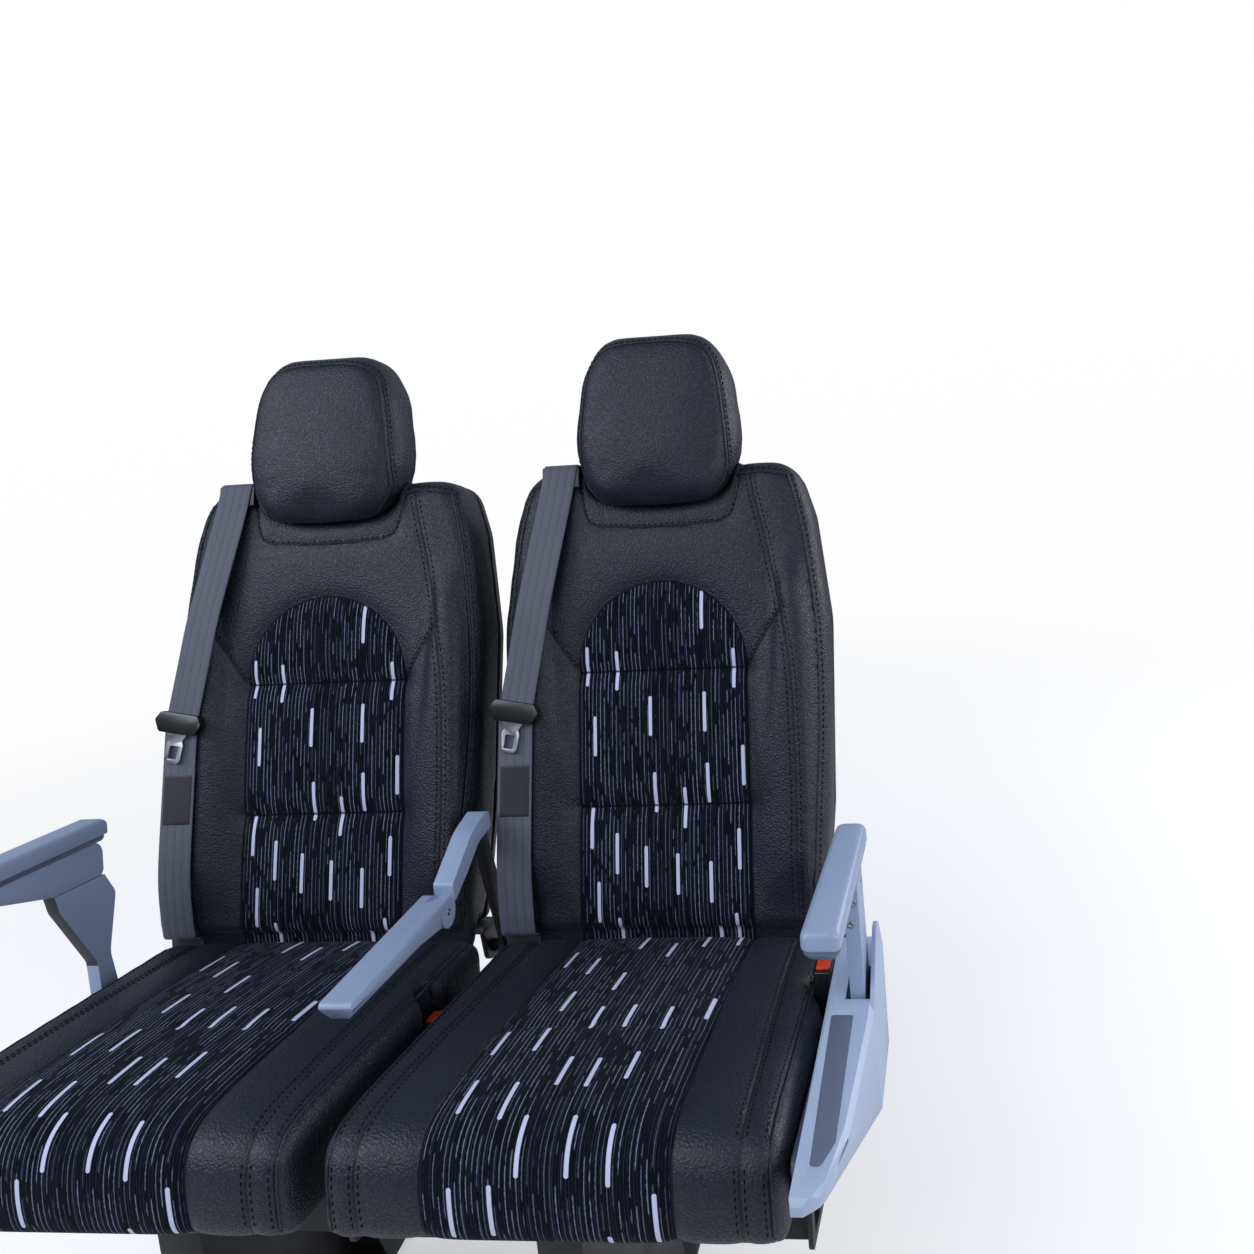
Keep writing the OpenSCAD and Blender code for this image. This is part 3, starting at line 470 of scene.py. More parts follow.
def moquette(look):
    """Flat-woven wool and polyamide moquette: a near-black navy ground with ragged grey-blue lines and bright
    dashes. The lines stand 5.2 and 3.1 mm apart; they are 0.6 mm wide on the cloth and drawn at 0.9 mm, so
    that they show. The cut pile scatters light evenly, without gloss."""
    put, feed = blank("moquette, woven with broken lines", Metallic=0.0, IOR=1.42, Sheen_Weight=0.03,
                      Sheen_Roughness=0.4, Roughness=0.94, Specular_IOR_Level=0.2)
    cloth = put("Attribute", give="Vector", attribute_name="cloth")
    across = put("SeparateXYZ", cloth, give=0)
    along = put("SeparateXYZ", cloth, give=1)
    drift = put("TexNoise", Vector=cloth, Scale=12.0, Detail=1.0)
    sway = put("Math MULTIPLY_ADD", drift, 1.2 * MM, across)
    strong = broken_lines(put, sway, along, pitch=5.2 * MM, seed=100.0, fill=0.43)
    faint = broken_lines(put, sway, along, pitch=3.1 * MM, seed=350.3, fill=0.42)
    bright = dashes(put, across, along)
    tuft = put("TexNoise", Vector=cloth, Scale=900.0, Detail=1.0)
    shade = put("Mix", tuft, tone(look.ground, 0.6), tone(look.ground, 1.5))
    share = put("Math MULTIPLY", faint, 0.75)
    shade = put("Mix", share, shade, tone(look.line_dim))
    shade = put("Mix", strong, shade, tone(look.line))
    shade = put("Mix", bright, shade, tone(look.dash))
    raised = put("Math MAXIMUM", strong, bright)
    raised = put("Math MULTIPLY_ADD", tuft, 0.7, raised)
    normal = put("Bump", Height=raised, Distance=0.35 * MM, Strength=0.6)
    # Painted shade in the seams' creases, which also sink
    shade, normal = sewn_crease(put, shade, normal, width=2.0 * MM, share=0.92)
    return feed(Base_Color=shade, Normal=normal)


def moulded_plastic(name, colour, rough, grain=0.5):
    """Injection-moulded from a spark-eroded tool: satin, with a fine even grain and softly rubbed places.
    The grain is 0.3 mm on the tool and drawn at 0.7 mm, so that it shows."""
    put, feed = blank(name, Metallic=0.0, IOR=1.52, Coat_Weight=0.08, Coat_Roughness=0.28)
    place = put("TexCoord", give="Object")
    fine = put("TexNoise", Vector=place, Scale=1 / (0.7 * MM), Detail=1.0)
    cloud = put("TexNoise", Vector=place, Scale=14.0, Detail=4.0, Roughness=0.6)
    shade = put("Mix", cloud, tone(colour, 0.92), tone(colour, 1.06))
    gloss = put("Math MULTIPLY_ADD", cloud, 0.16, rough - 0.08)
    normal = put("Bump", Height=fine, Distance=0.06 * MM, Strength=grain)
    return feed(Base_Color=shade, Roughness=gloss, Normal=normal)


def powder_coat(look):
    """Black polyester powder coat on steel: low gloss, with the slight orange peel of the stoved film."""
    put, feed = blank("powder coat on steel, stoved", Metallic=0.0, IOR=1.5)
    place = put("TexCoord", give="Object")
    peel = put("TexNoise", Vector=place, Scale=420.0, Detail=2.0)
    dust = put("TexNoise", Vector=place, Scale=18.0, Detail=5.0, Roughness=0.7)
    share = put("MapRange", dust, 0.45, 0.75)
    shade = put("Mix", share, tone(look.steel_paint), tone(look.steel_paint, 1.7))
    gloss = put("Math MULTIPLY_ADD", dust, 0.2, 0.38)
    normal = put("Bump", Height=peel, Distance=0.12 * MM, Strength=0.5)
    return feed(Base_Color=shade, Roughness=gloss, Normal=normal)


def plated_steel(name, code, rough):
    """Pressed steel, plated and tumbled: a metal with fine rubbed marks."""
    put, feed = blank(name, Metallic=1.0)
    place = put("TexCoord", give="Object")
    rub = put("TexNoise", Vector=place, Scale=240.0, Detail=4.0, Roughness=0.7)
    shade = put("Mix", rub, tone(linear(code), 0.9), tone(linear(code), 1.05))
    gloss = put("Math MULTIPLY_ADD", rub, 0.14, rough - 0.05)
    normal = put("Bump", Height=rub, Distance=0.01 * MM, Strength=0.1)
    return feed(Base_Color=shade, Roughness=gloss, Normal=normal)


def belt_webbing(look):
    """Woven polyester webbing: four lengthwise bands across 45 mm, with painted shade in the grooves between
    them, and a twill of 1.2 mm, matt. The twill is drawn at 1.8 mm, so that it shows."""
    put, feed = blank("polyester webbing, woven", Metallic=0.0, IOR=1.5, Sheen_Weight=0.1,
                      Sheen_Roughness=0.45, Roughness=0.6)
    uv = put("UVMap", give="UV", uv_map="UVMap")
    across = put("SeparateXYZ", uv, give=0)
    along = put("SeparateXYZ", uv, give=1)
    turn = put("Math MULTIPLY", across, pi / (11.25 * MM))
    band = put("Math SINE", turn)
    band = put("Math ABSOLUTE", band)
    slant = put("Math MULTIPLY_ADD", across, 0.8, along)
    slant = put("Math MULTIPLY", slant, 2 * pi / (1.8 * MM))
    twill = put("Math SINE", slant)
    place = put("TexCoord", give="Object")
    cloud = put("TexNoise", Vector=place, Scale=30.0, Detail=3.0, Roughness=0.6)
    shade = put("Mix", cloud, tone(look.webbing, 0.82), tone(look.webbing, 1.15))
    # Painted shade: the colour goes dark in the grooves between the bands
    groove_shade = put("MapRange", band, 0.0, 0.4, 0.4, 0.0)
    shade = put("Mix", groove_shade, shade, tone(look.webbing, 0.3))
    normal = put("Bump", Height=band, Distance=0.6 * MM, Strength=0.8)
    normal = put("Bump", Height=twill, Distance=0.12 * MM, Strength=0.6, Normal=normal)
    return feed(Base_Color=shade, Normal=normal)


def woven_tag():
    """Satin-woven polyester tag, blank: dark and slightly glossy, with 0.5 mm crossways ribs drawn at 1
    mm."""
    put, feed = blank("polyester tag, satin woven", Metallic=0.0, IOR=1.5, Sheen_Weight=0.1)
    place = put("TexCoord", give="Object")
    tight = put("VectorMath MULTIPLY", place, (60.0, 300.0, 1000.0))
    rib = put("TexNoise", Vector=tight, Scale=1.0, Detail=1.0)
    shade = put("Mix", rib, linear("#15161a"), linear("#26272c"))
    gloss = put("Math MULTIPLY_ADD", rib, 0.2, 0.35)
    normal = put("Bump", Height=rib, Distance=0.15 * MM, Strength=0.5)
    return feed(Base_Color=shade, Roughness=gloss, Normal=normal)


def sewing_thread(look):
    """Bonded polyamide thread, twisted: dark and matt, so that each stitch shows against the satin
    leathercloth."""
    put, feed = blank("polyamide thread, bonded", Metallic=0.0, IOR=1.5, Roughness=0.8,
                      Specular_IOR_Level=0.1)
    place = put("TexCoord", give="Object")
    twist = put("TexNoise", Vector=place, Scale=1500.0, Detail=1.0)
    shade = put("Mix", twist, tone(look.thread, 0.7), tone(look.thread, 1.3))
    normal = put("Bump", Height=twist, Distance=0.1 * MM, Strength=0.6)
    return feed(Base_Color=shade, Normal=normal)


def plywood():
    """Birch plywood, rotary cut and left bare: long wavy grain along the board and a matt face."""
    put, feed = blank("birch plywood, bare", Metallic=0.0, IOR=1.5, Roughness=0.7)
    place = put("TexCoord", give="Object")
    drawn = put("VectorMath MULTIPLY", place, (180.0, 15.0, 180.0))
    grain = put("TexNoise", Vector=drawn, Scale=1.0, Detail=5.0, Roughness=0.65)
    shade = put("Mix", grain, linear("#7c6a55"), linear("#a08b70"))
    normal = put("Bump", Height=grain, Distance=0.15 * MM, Strength=0.4)
    return feed(Base_Color=shade, Normal=normal)


def studio_floor(look):
    """Painted board, matt: pale near the seat and white further out, for the camera alone; it keeps the
    shadow."""
    put, feed = blank("studio board, painted", Roughness=0.85, Specular_IOR_Level=0.2,
                      Emission_Color=(1.0, 1.0, 1.0, 1.0))
    place = put("TexCoord", give="Object")
    speck = put("TexNoise", Vector=place, Scale=3.0, Detail=2.0)
    reach = put("VectorMath LENGTH", place, give="Value")
    away = put("MapRange", reach, 0.9, 3.2)
    shade = put("Mix", speck, tone(look.floor, 0.99), tone(look.floor, 1.01))
    shade = put("Mix", away, shade, (0.0, 0.0, 0.0, 1.0))
    seen = put("LightPath", give="Is Camera Ray")
    glow = put("Math MULTIPLY_ADD", away, 0.62, 0.36)
    glow = put("Math MULTIPLY", glow, seen)
    return feed(Base_Color=shade, Emission_Strength=glow)


# The finishes by short names, once they are made
FINISH = {}


def finishes(look):
    """All the finishes of the seat, made once and kept by short names."""
    if not FINISH:
        FINISH.update({
            "leather": coated_leathercloth(look),
            "welt": coated_leathercloth(look, "coated leathercloth, rolled over cord", sewn=False),
            "cloth": moquette(look),
            "thread": sewing_thread(look),
            "light": moulded_plastic("ABS, light grey, moulded", look.plastic_light, 0.36),
            # Painted light: the armrests' light grey plastic made lighter for the aisle side cover, standing
            # in for the stronger light falling on it
            "pale": moulded_plastic("ABS, pale grey, moulded", look.plastic_pale, 0.40),
            "mid": moulded_plastic("ABS, mid grey, moulded", look.plastic_mid, 0.45),
            "dark": moulded_plastic("polypropylene, dark grey, moulded", look.plastic_dark, 0.55),
            "black": moulded_plastic("polyamide, black, moulded", look.plastic_black, 0.26, 0.2),
            "red": moulded_plastic("ABS, signal red, moulded", look.button, 0.35, 0.2),
            "paint": powder_coat(look),
            "zinc": plated_steel("steel, zinc plated", "#9a9c9e", 0.35),
            "bright": plated_steel("steel, bright nickel plated", "#c3c6cc", 0.30),
            "chrome": plated_steel("steel, chrome plated", "#d4d5d8", 0.12),
            "webbing": belt_webbing(look),
            "tag": woven_tag(),
            "board": plywood(),
        })
    return FINISH


# Seams of the backrest and the headrest, as rows of [x, s] in metres, and of the cushion

def both(path):
    """A path and its mirror image across the seat's middle."""
    path = np.asarray(path, float)
    return [path, path * [-1, 1]]


def back_seams():
    """The backrest's seam lines by name, each a list of polylines in x and s."""
    turn = np.radians(np.linspace(0, 180, 37))
    arch = np.stack([INSERT_HALF * np.cos(turn), ARCH_S + INSERT_HALF * np.sin(turn)], 1)
    arch = np.vstack([[[INSERT_HALF, 0.0]], arch, [[-INSERT_HALF, 0.0]]])
    twin = smooth_path([[0.121, 0.578], [0.126, 0.550], [0.142, 0.480], [0.158, 0.400], [0.169, 0.330],
                        [0.172, 0.260], [0.172, 0.150], [0.167, 0.012]])
    welt = smooth_path([[0.171, 0.572], [0.179, 0.545], [0.190, 0.490], [0.201, 0.393], [0.203, 0.318],
                        [0.201, 0.243], [0.196, 0.155], [0.187, 0.020]])
    yoke = smooth_path([[-0.108, 0.578], [-0.106, 0.560], [-0.101, 0.530], [-0.088, 0.517], [-0.050, 0.513],
                        [0.0, 0.512], [0.050, 0.513], [0.088, 0.517], [0.101, 0.530], [0.106, 0.560],
                        [0.108, 0.578]])
    return {
        "arch": [even_path(arch)],
        "rib": [np.array([[-INSERT_HALF, s], [INSERT_HALF, s]]) for s in (0.157, 0.326)],
        "wing": both(even_path([[INSERT_HALF, 0.326], [0.158, 0.400]])),
        "twin": both(twin),
        "welt": both(welt),
        "yoke": [yoke],
        "shoulder": both(smooth_path([[0.108, 0.576], [0.135, 0.577], [0.171, 0.572]])),
    }


def head_panel():
    """The headrest's front panel outline."""
    half = [[0.0, 0.753], [0.043, 0.751], [0.073, 0.740], [0.087, 0.711], [0.095, 0.655], [0.098, 0.600],
            [0.093, 0.570], [0.079, 0.550]]
    path = [[-x, s] for x, s in half[:0:-1]] + half
    return smooth_path(path)


def insert_distance(x, s):
    """How far a point of the backrest lies outside the cloth insert: by its sides, and by the arch above."""
    above = np.hypot(x, np.maximum(s - ARCH_S, 0)) - INSERT_HALF
    return np.where(s > ARCH_S, above, np.abs(x) - INSERT_HALF)


def cushion_lines(y):
    """Half widths of the cushion's cloth, twin seam and welt at a place along it."""
    front = step_up(-y, 0.0, CUSHION_LEN)
    return 0.111 + 0.006 * front, 0.166 + 0.012 * front, 0.203 + 0.002 * front


def cushion_run(y, z):
    """Length along the cloth from the crease: over the top, round the lip and down the front."""
    turn_y = -CUSHION_LEN + LIP_R
    angle = np.arctan2(turn_y - y, z + LIP_R)
    round_lip = -turn_y + LIP_R * np.clip(angle, 0, pi / 2)
    return np.where(y > turn_y, -y, round_lip + np.maximum(-LIP_R - z, 0))


# Padded pieces

# The covers' cloth in the simulation, which runs for this many frames
CLOTH = {"vertex_group_mass": "sewn", "quality": 4, "mass": 0.25, "tension_stiffness": 14,
         "compression_stiffness": 14, "bending_stiffness": 1.2, "use_pressure": True,
         "uniform_pressure_force": 4.0}
SWELL_FRAMES = 20


def soft_form(node, name, voxel, rounds):
    """A CAD solid as even quads with its edges rounded by that many rounds of smoothing."""
    obj = cad_copy(node, name)
    modify(obj, "even quads", "REMESH", mode="VOXEL", voxel_size=voxel)
    modify(obj, "round off", "SMOOTH", factor=0.5, iterations=rounds)
    settle(obj)
    return obj


def swell(obj, held, cap):
    """Swells a cover by cloth simulation under pressure; held points stay, and none moves past the cap."""
    before = points_of(obj)
    group = obj.vertex_groups.new(name="sewn")
    group.add(np.nonzero(held)[0].tolist(), 1.0, "REPLACE")
    cloth = modify(obj, "pressure", "CLOTH")
    for key, value in CLOTH.items():
        setattr(cloth.settings, key, value)
    cloth.settings.effector_weights.gravity = 0.0
    cloth.point_cache.frame_start = 1
    cloth.point_cache.frame_end = SWELL_FRAMES
    scene = bpy.context.scene
    for number in range(1, SWELL_FRAMES + 1):
        scene.frame_set(number)
    settle(obj)
    scene.frame_set(1)
    move = points_of(obj) - before
    far = np.linalg.norm(move, axis=1, keepdims=True)
    put_points(obj, before + move * np.minimum(1, cap / np.maximum(far, 1e-9)))
    obj.vertex_groups.clear()


def plump(obj, held, cap, rounds):
    """Swells a cover, smooths the small folds out and subdivides it once."""
    swell(obj, held, cap)
    modify(obj, "relax", "SMOOTH", factor=0.5, iterations=rounds)
    settle(obj)
    modify(obj, "finer", "SUBSURF", levels=1, render_levels=1)
    settle(obj)


def valley(far, depth, width):
    """The dip that a seam draws in the padding: depth times exp(-distance / width), rounded at its middle."""
    return depth * MM * np.exp(-np.sqrt(far ** 2 + (1.5 * MM) ** 2) / (width * MM))


def two_cloths(obj, outside, across, along, seam, look):
    """Leathercloth outside and moquette inside a line, each face by the sign at its middle."""
    faces = obj.data.polygons
    corners = numbers_of(obj.data.loops, "vertex_index")
    total = np.add.reduceat(outside[corners], numbers_of(faces, "loop_start"))
    middle = total / numbers_of(faces, "loop_total")
    coat(obj, finishes(look)["leather"], finishes(look)["cloth"])
    faces.foreach_set("material_index", (middle < 0).astype(np.int32))
    put_attribute(obj, "cloth", "FLOAT_VECTOR", np.stack([across, along, np.zeros(len(across))], 1))
    put_attribute(obj, "seam", "FLOAT", seam)


def stitches(rows, thick, length=5.0 * MM, gap=2.6 * MM, sides=6):
    """Stitch loops along rows of (points, normals): each is a capsule bowed out of the surface."""
    along = np.linspace(-1, 1, sides)
    girth = np.sqrt(np.maximum(1 - along ** 4, 0.05))
    bow = thick * (1.1 * (1 - along ** 2) - 0.20)
    turn = np.linspace(0, 2 * pi, sides, endpoint=False)
    quads = grid_faces(sides, sides, closed=True)[:, ::-1]
    parts = []
    for path, normal in rows:
        run = run_along(path)
        at = np.arange(length / 2, run[-1] - length / 2, length + gap)
        middle = sample(at, run, path)
        up = sample(at, run, normal)
        up /= np.linalg.norm(up, axis=1, keepdims=True)
        t = (sample(at + length / 2, run, path) - sample(at - length / 2, run, path)) / 2
        side = np.cross(t, up)
        side /= np.linalg.norm(side, axis=1, keepdims=True)
        ring = (middle[:, None, None] + t[:, None, None] * along[None, :, None, None]
                + up[:, None, None] * (bow[:, None] + thick * girth[:, None] * np.sin(turn))[None, :, :, None]
                + side[:, None, None] * (thick * girth[:, None] * np.cos(turn))[None, :, :, None])
        starts = sides ** 2 * np.arange(len(at))[:, None, None]
        parts.append((ring.reshape(-1, 3), (quads[None] + starts).reshape(-1, 4)))
    return joined(parts)


def on_surface(tree, path, start, direction):
    """A 2-D path laid onto a surface: rays from its starts along the direction give points and normals."""
    points, normals = [], []
    for a, b in path:
        hit, normal, _, _ = tree.ray_cast(Vector(start(a, b)), Vector(direction))
        if hit is not None:
            points.append(hit)
            normals.append(normal)
    return np.array(points), np.array(normals)


def offset_path(path, distance):
    """A 2-D path moved sideways by a distance: each point along the path's own normal."""
    along = np.gradient(path, axis=0)
    along /= np.linalg.norm(along, axis=1, keepdims=True)
    return path + distance * np.stack([-along[:, 1], along[:, 0]], 1)


def surface_of(obj, angle):
    """A piece's surface for rays, in the window seat's own frame."""
    points = [tuple(p) for p in from_row(points_of(obj), angle)]
    return BVHTree.FromPolygons(points, [tuple(p.vertices) for p in obj.data.polygons])


def rolls(name, paths, radius, angle, look):
    """Rolled edges along paths of the seat's own frame: a thin tube round each, joined in one piece."""
    points, faces = joined([tube(path, radius) for path in paths])
    return mesh_object(name, to_row(points, angle), faces, finishes(look)["welt"])


def threads(name, rows, angle, look, thick=0.55 * MM):
    """Rows of stitches of the seat's own frame, joined in one piece."""
    points, faces = stitches(rows, thick)
    return mesh_object(name, to_row(points, angle), faces, finishes(look)["thread"])


def both_seats(obj):
    """A window-seat piece and its copy on the aisle seat, each with its side; both name their slot."""
    twin = obj.copy()
    twin.data = obj.data.copy()
    twin.name = obj.name.replace("_window", "_aisle")
    twin.data.name = twin.name
    twin.data.transform(Matrix.Translation((SEATS["aisle"] - SEATS["window"], 0, 0)))
    bpy.context.scene.collection.objects.link(twin)
    return ("window", obj), ("aisle", twin)


def fit_pair(cover, trims, body, node):
    """Puts a cover and its trims on both seats, on their bodies; the cover stands for its padded solid."""
    for piece in [cover] + trims:
        for side, one in both_seats(piece):
            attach(one, body.format(side))
            if piece is cover:
                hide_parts(f"{node}_{side}")


def backrest_cover(look):
    """The backrest's cover: swollen between its seams, relaxed, then drawn in along each seam by a valley.
    Its foot is tucked down behind the cushion, and its lip rises behind the headrest's lower edge, most of
    all in front of the rods."""
    obj = soft_form("back_pad_window", "backrest_cover_window", voxel=6 * MM, rounds=12)
    seams = back_seams()
    local = from_row(points_of(obj), LEAN)
    front = local[:, 1] < 0.030
    held = ~front
    for name in ("arch", "rib", "twin", "yoke", "welt"):
        for path in seams[name]:
            held |= front & (nearest_on(local[:, [0, 2]], path)[0] < HELD)
    plump(obj, held, cap=8 * MM, rounds=12)
    local = from_row(points_of(obj), LEAN)
    x, y, s = local.T
    facing = rows_of(obj.data.vertex_normals, "vector") @ np.array([0, -cos(LEAN), sin(LEAN)])
    front = (y < 0.040) & (facing > -0.2)
    outside = np.where(front & (s < 0.5), insert_distance(x, s), FAR)
    near = np.abs(outside) < SNAP
    radial = np.stack([x, np.maximum(s - ARCH_S, 0)], 1)
    radial /= np.maximum(np.linalg.norm(radial, axis=1, keepdims=True), 1e-6)
    local[near, 0] -= outside[near] * radial[near, 0]
    local[near, 2] -= outside[near] * radial[near, 1]
    outside = np.where(near, 0.0, outside)
    seam = np.full(len(local), FAR)
    for name, (depth, width) in BACK_VALLEYS.items():
        for path in seams[name]:
            far = draw_to(local, front, path)
            local[:, 1] += valley(far, depth, width)
            seam = np.minimum(seam, far)
    tuck = step_up(0.040 - s, 0.0, 0.028) * step_up(y, 0.012, 0.024) * step_up(0.044 - y, 0.0, 0.010)
    local[:, 2] -= TUCK * tuck
    lip = step_up(s, 0.513, 0.540) * step_up(0.112 - np.abs(x), 0.0, 0.014) * step_up(0.034 - y, 0.0, 0.014)
    collar = np.exp(-((np.abs(x) - ROD_X) / 0.020) ** 2)
    local[:, 2] += (LIP_RISE + COLLAR_RISE * collar) * lip
    put_points(obj, to_row(local, LEAN))
    two_cloths(obj, outside, x, s, seam, look)
    return obj


def backrest_trim(obj, look):
    """The backrest's welts and stitch rows, laid on its cover."""
    seams = back_seams()
    tree = surface_of(obj, LEAN)

    def lay(path, shift=0.0):
        """A path in x and s, moved sideways and carried back onto the cover."""
        return on_surface(tree, offset_path(path, shift), lambda a, b: (a, -0.08, b), (0, 1, 0))

    laid = [lay(path) for path in seams["welt"] + seams["shoulder"]]
    paths = [points + normal * 0.5 * MM for points, normal in laid]
    rows = [lay(path, side) for path in seams["twin"] for side in (-6 * MM, 6 * MM)]
    rows += [lay(path, 3 * MM) for path in seams["yoke"]]
    rows += [lay(path, 5 * MM if path[0, 0] <= path[-1, 0] else -5 * MM) for path in seams["shoulder"]]
    rows += [lay(path, 5 * MM if path[0, 0] > 0 else -5 * MM) for path in seams["welt"]]
    rows += [lay(path, 3.5 * MM if path[0, 0] > 0 else -3.5 * MM) for path in seams["wing"]]
    return [rolls("backrest_welt_window", paths, 1.6 * MM, LEAN, look),
            threads("backrest_stitches_window", rows, LEAN, look)]


def cushion_cover(look):
    """The cushion's cover: crowned by 1 - |x|^2.5 across and a half sine along, swollen between its seams,
    relaxed, with its side borders rounded down outside the welts."""
    obj = soft_form("cushion_window", "cushion_cover_window", voxel=6 * MM, rounds=10)
    local = from_row(points_of(obj), SLOPE)
    x, y, z = local.T
    top = step_up(z, -0.060, -0.010)
    across = 1 - np.clip(np.abs(x) / 0.217, 0, 1) ** 2.5
    local[:, 2] += top * CROWN * across * np.sin(pi * np.clip((0.03 - y) / 0.56, 0, 1))
    border = np.clip((np.abs(x) - 0.198) / 0.019, 0, 1)
    local[:, 2] -= top * BORDER_DROP * border ** 2
    put_points(obj, to_row(local, SLOPE))
    held = (z < -0.075) | (y > -0.012)
    for half in cushion_lines(y):
        held |= np.abs(np.abs(x) - half) < HELD
    plump(obj, held, cap=9 * MM, rounds=5)
    local = from_row(points_of(obj), SLOPE)
    x, y, z = local.T
    crease = np.array([SEATS["window"], CREASE_Y, CREASE_Z])
    up = from_row(rows_of(obj.data.vertex_normals, "vector") + crease, SLOPE)
    cloth_half = cushion_lines(y)[0]
    showing = (up[:, 2] > -0.3) | (up[:, 1] < -0.3)
    outside = np.where(showing, np.abs(x) - cloth_half, FAR)
    near = np.abs(outside) < SNAP
    local[near, 0] -= outside[near] * np.sign(x[near])
    outside = np.where(near, 0.0, outside)
    seam = np.full(len(local), FAR)
    for half, (depth, width) in zip(cushion_lines(y), CUSHION_VALLEYS):
        far = np.where(showing, np.abs(np.abs(x) - half), FAR)
        near = far < SNAP
        local[near, 0] = (half * np.sign(x))[near]
        far = np.where(near, 0.0, far)
        local -= up * valley(far, depth, width)[:, None]
        seam = np.minimum(seam, far)
    cross = np.where(showing & (np.abs(x) < cloth_half) & (up[:, 2] > 0.5), np.abs(y - CROSS_Y), FAR)
    local[:, 2] -= valley(cross, *CROSS_VALLEY)
    seam = np.minimum(seam, cross + 1.5 * MM)
    put_points(obj, to_row(local, SLOPE))
    two_cloths(obj, outside, x, -cushion_run(y, z) - 0.31, seam, look)
    return obj


def cushion_trim(obj, look):
    """The cushion's welts and stitch rows: fore-and-aft lines over the top and down the front."""
    tree = surface_of(obj, SLOPE)

    def lay(kind, shift):
        """One line at a kind of half width: rays down onto the top, then back onto the front."""
        lines = []
        for side in (-1, 1):
            top = np.arange(-0.012, -CUSHION_LEN + 0.030, -STEP)
            path = np.stack([side * (cushion_lines(top)[kind] + shift), top], 1)
            a, na = on_surface(tree, path, lambda p, q: (p, q, 0.09), (0, 0, -1))
            down = np.arange(-0.022, -CUSHION_T + 0.012, -STEP)
            low = np.stack([side * (cushion_lines(np.full(len(down), -CUSHION_LEN))[kind] + shift), down], 1)
            b, nb = on_surface(tree, low, lambda p, q: (p, -0.60, q), (0, 1, 0))
            lines.append((np.vstack([a, b]), np.vstack([na, nb])))
        return lines

    paths = [even_path(laid + normal * 0.5 * MM) for laid, normal in lay(2, 0.0)]
    rows = lay(1, -4.5 * MM) + lay(1, 4.5 * MM) + lay(2, -5.5 * MM)
    return [rolls("cushion_welt_window", paths, 1.7 * MM, SLOPE, look),
            threads("cushion_stitches_window", rows, SLOPE, look)]


def headrest_cover(look):
    """The headrest's cover: a smooth round pillow whose front panel is swollen inside its seam.
    Its lower front hangs a little over the backrest's lip, so that the rods are hidden when it is down."""
    obj = soft_form("headrest_window", "headrest_cover_window", voxel=5 * MM, rounds=26)
    panel = head_panel()
    local = from_row(points_of(obj), LEAN)
    fuller = step_up(0.668 - local[:, 2], 0.0, 0.075) * step_up(local[:, 2], 0.530, 0.578)
    local[:, 0] *= 1 + (0.120 * fuller - 0.040) * step_up(np.abs(local[:, 0]), 0.0, 0.09)
    middle = (HEAD_LOW_S + HEAD_TOP_S) / 2
    local[:, 2] = middle + 3 * MM + (local[:, 2] - middle) * 0.965
    put_points(obj, to_row(local, LEAN))
    held = (local[:, 1] < 0.0) & (nearest_on(local[:, [0, 2]], panel)[0] < HELD) | (local[:, 1] > 0.040)
    plump(obj, held, cap=9 * MM, rounds=8)
    local = from_row(points_of(obj), LEAN)
    hang = step_up(0.600 - local[:, 2], 0.0, 0.050) * step_up(-local[:, 1], -0.012, 0.012)
    local[:, 2] -= HANG * hang
    far = draw_to(local, local[:, 1] < 0.012, panel)
    local[:, 1] += valley(far, *HEAD_VALLEY)
    put_points(obj, to_row(local, LEAN))
    coat(obj, finishes(look)["leather"])
    put_attribute(obj, "seam", "FLOAT", far)
    return obj


def headrest_trim(obj, look):
    """The headrest's seam: a thin rolled edge along its panel and a row of stitches outside it."""
    tree = surface_of(obj, LEAN)

    def lay(shift):
        """The panel's outline, moved sideways and carried back onto the cover."""
        return on_surface(tree, offset_path(head_panel(), shift), lambda a, b: (a, -0.10, b), (0, 1, 0))

    laid, normal = lay(-1.6 * MM)
    return [rolls("headrest_welt_window", [laid + normal * 0.3 * MM], 1.2 * MM, LEAN, look),
            threads("headrest_stitches_window", [lay(4 * MM)], LEAN, look, 0.5 * MM)]


# Belts

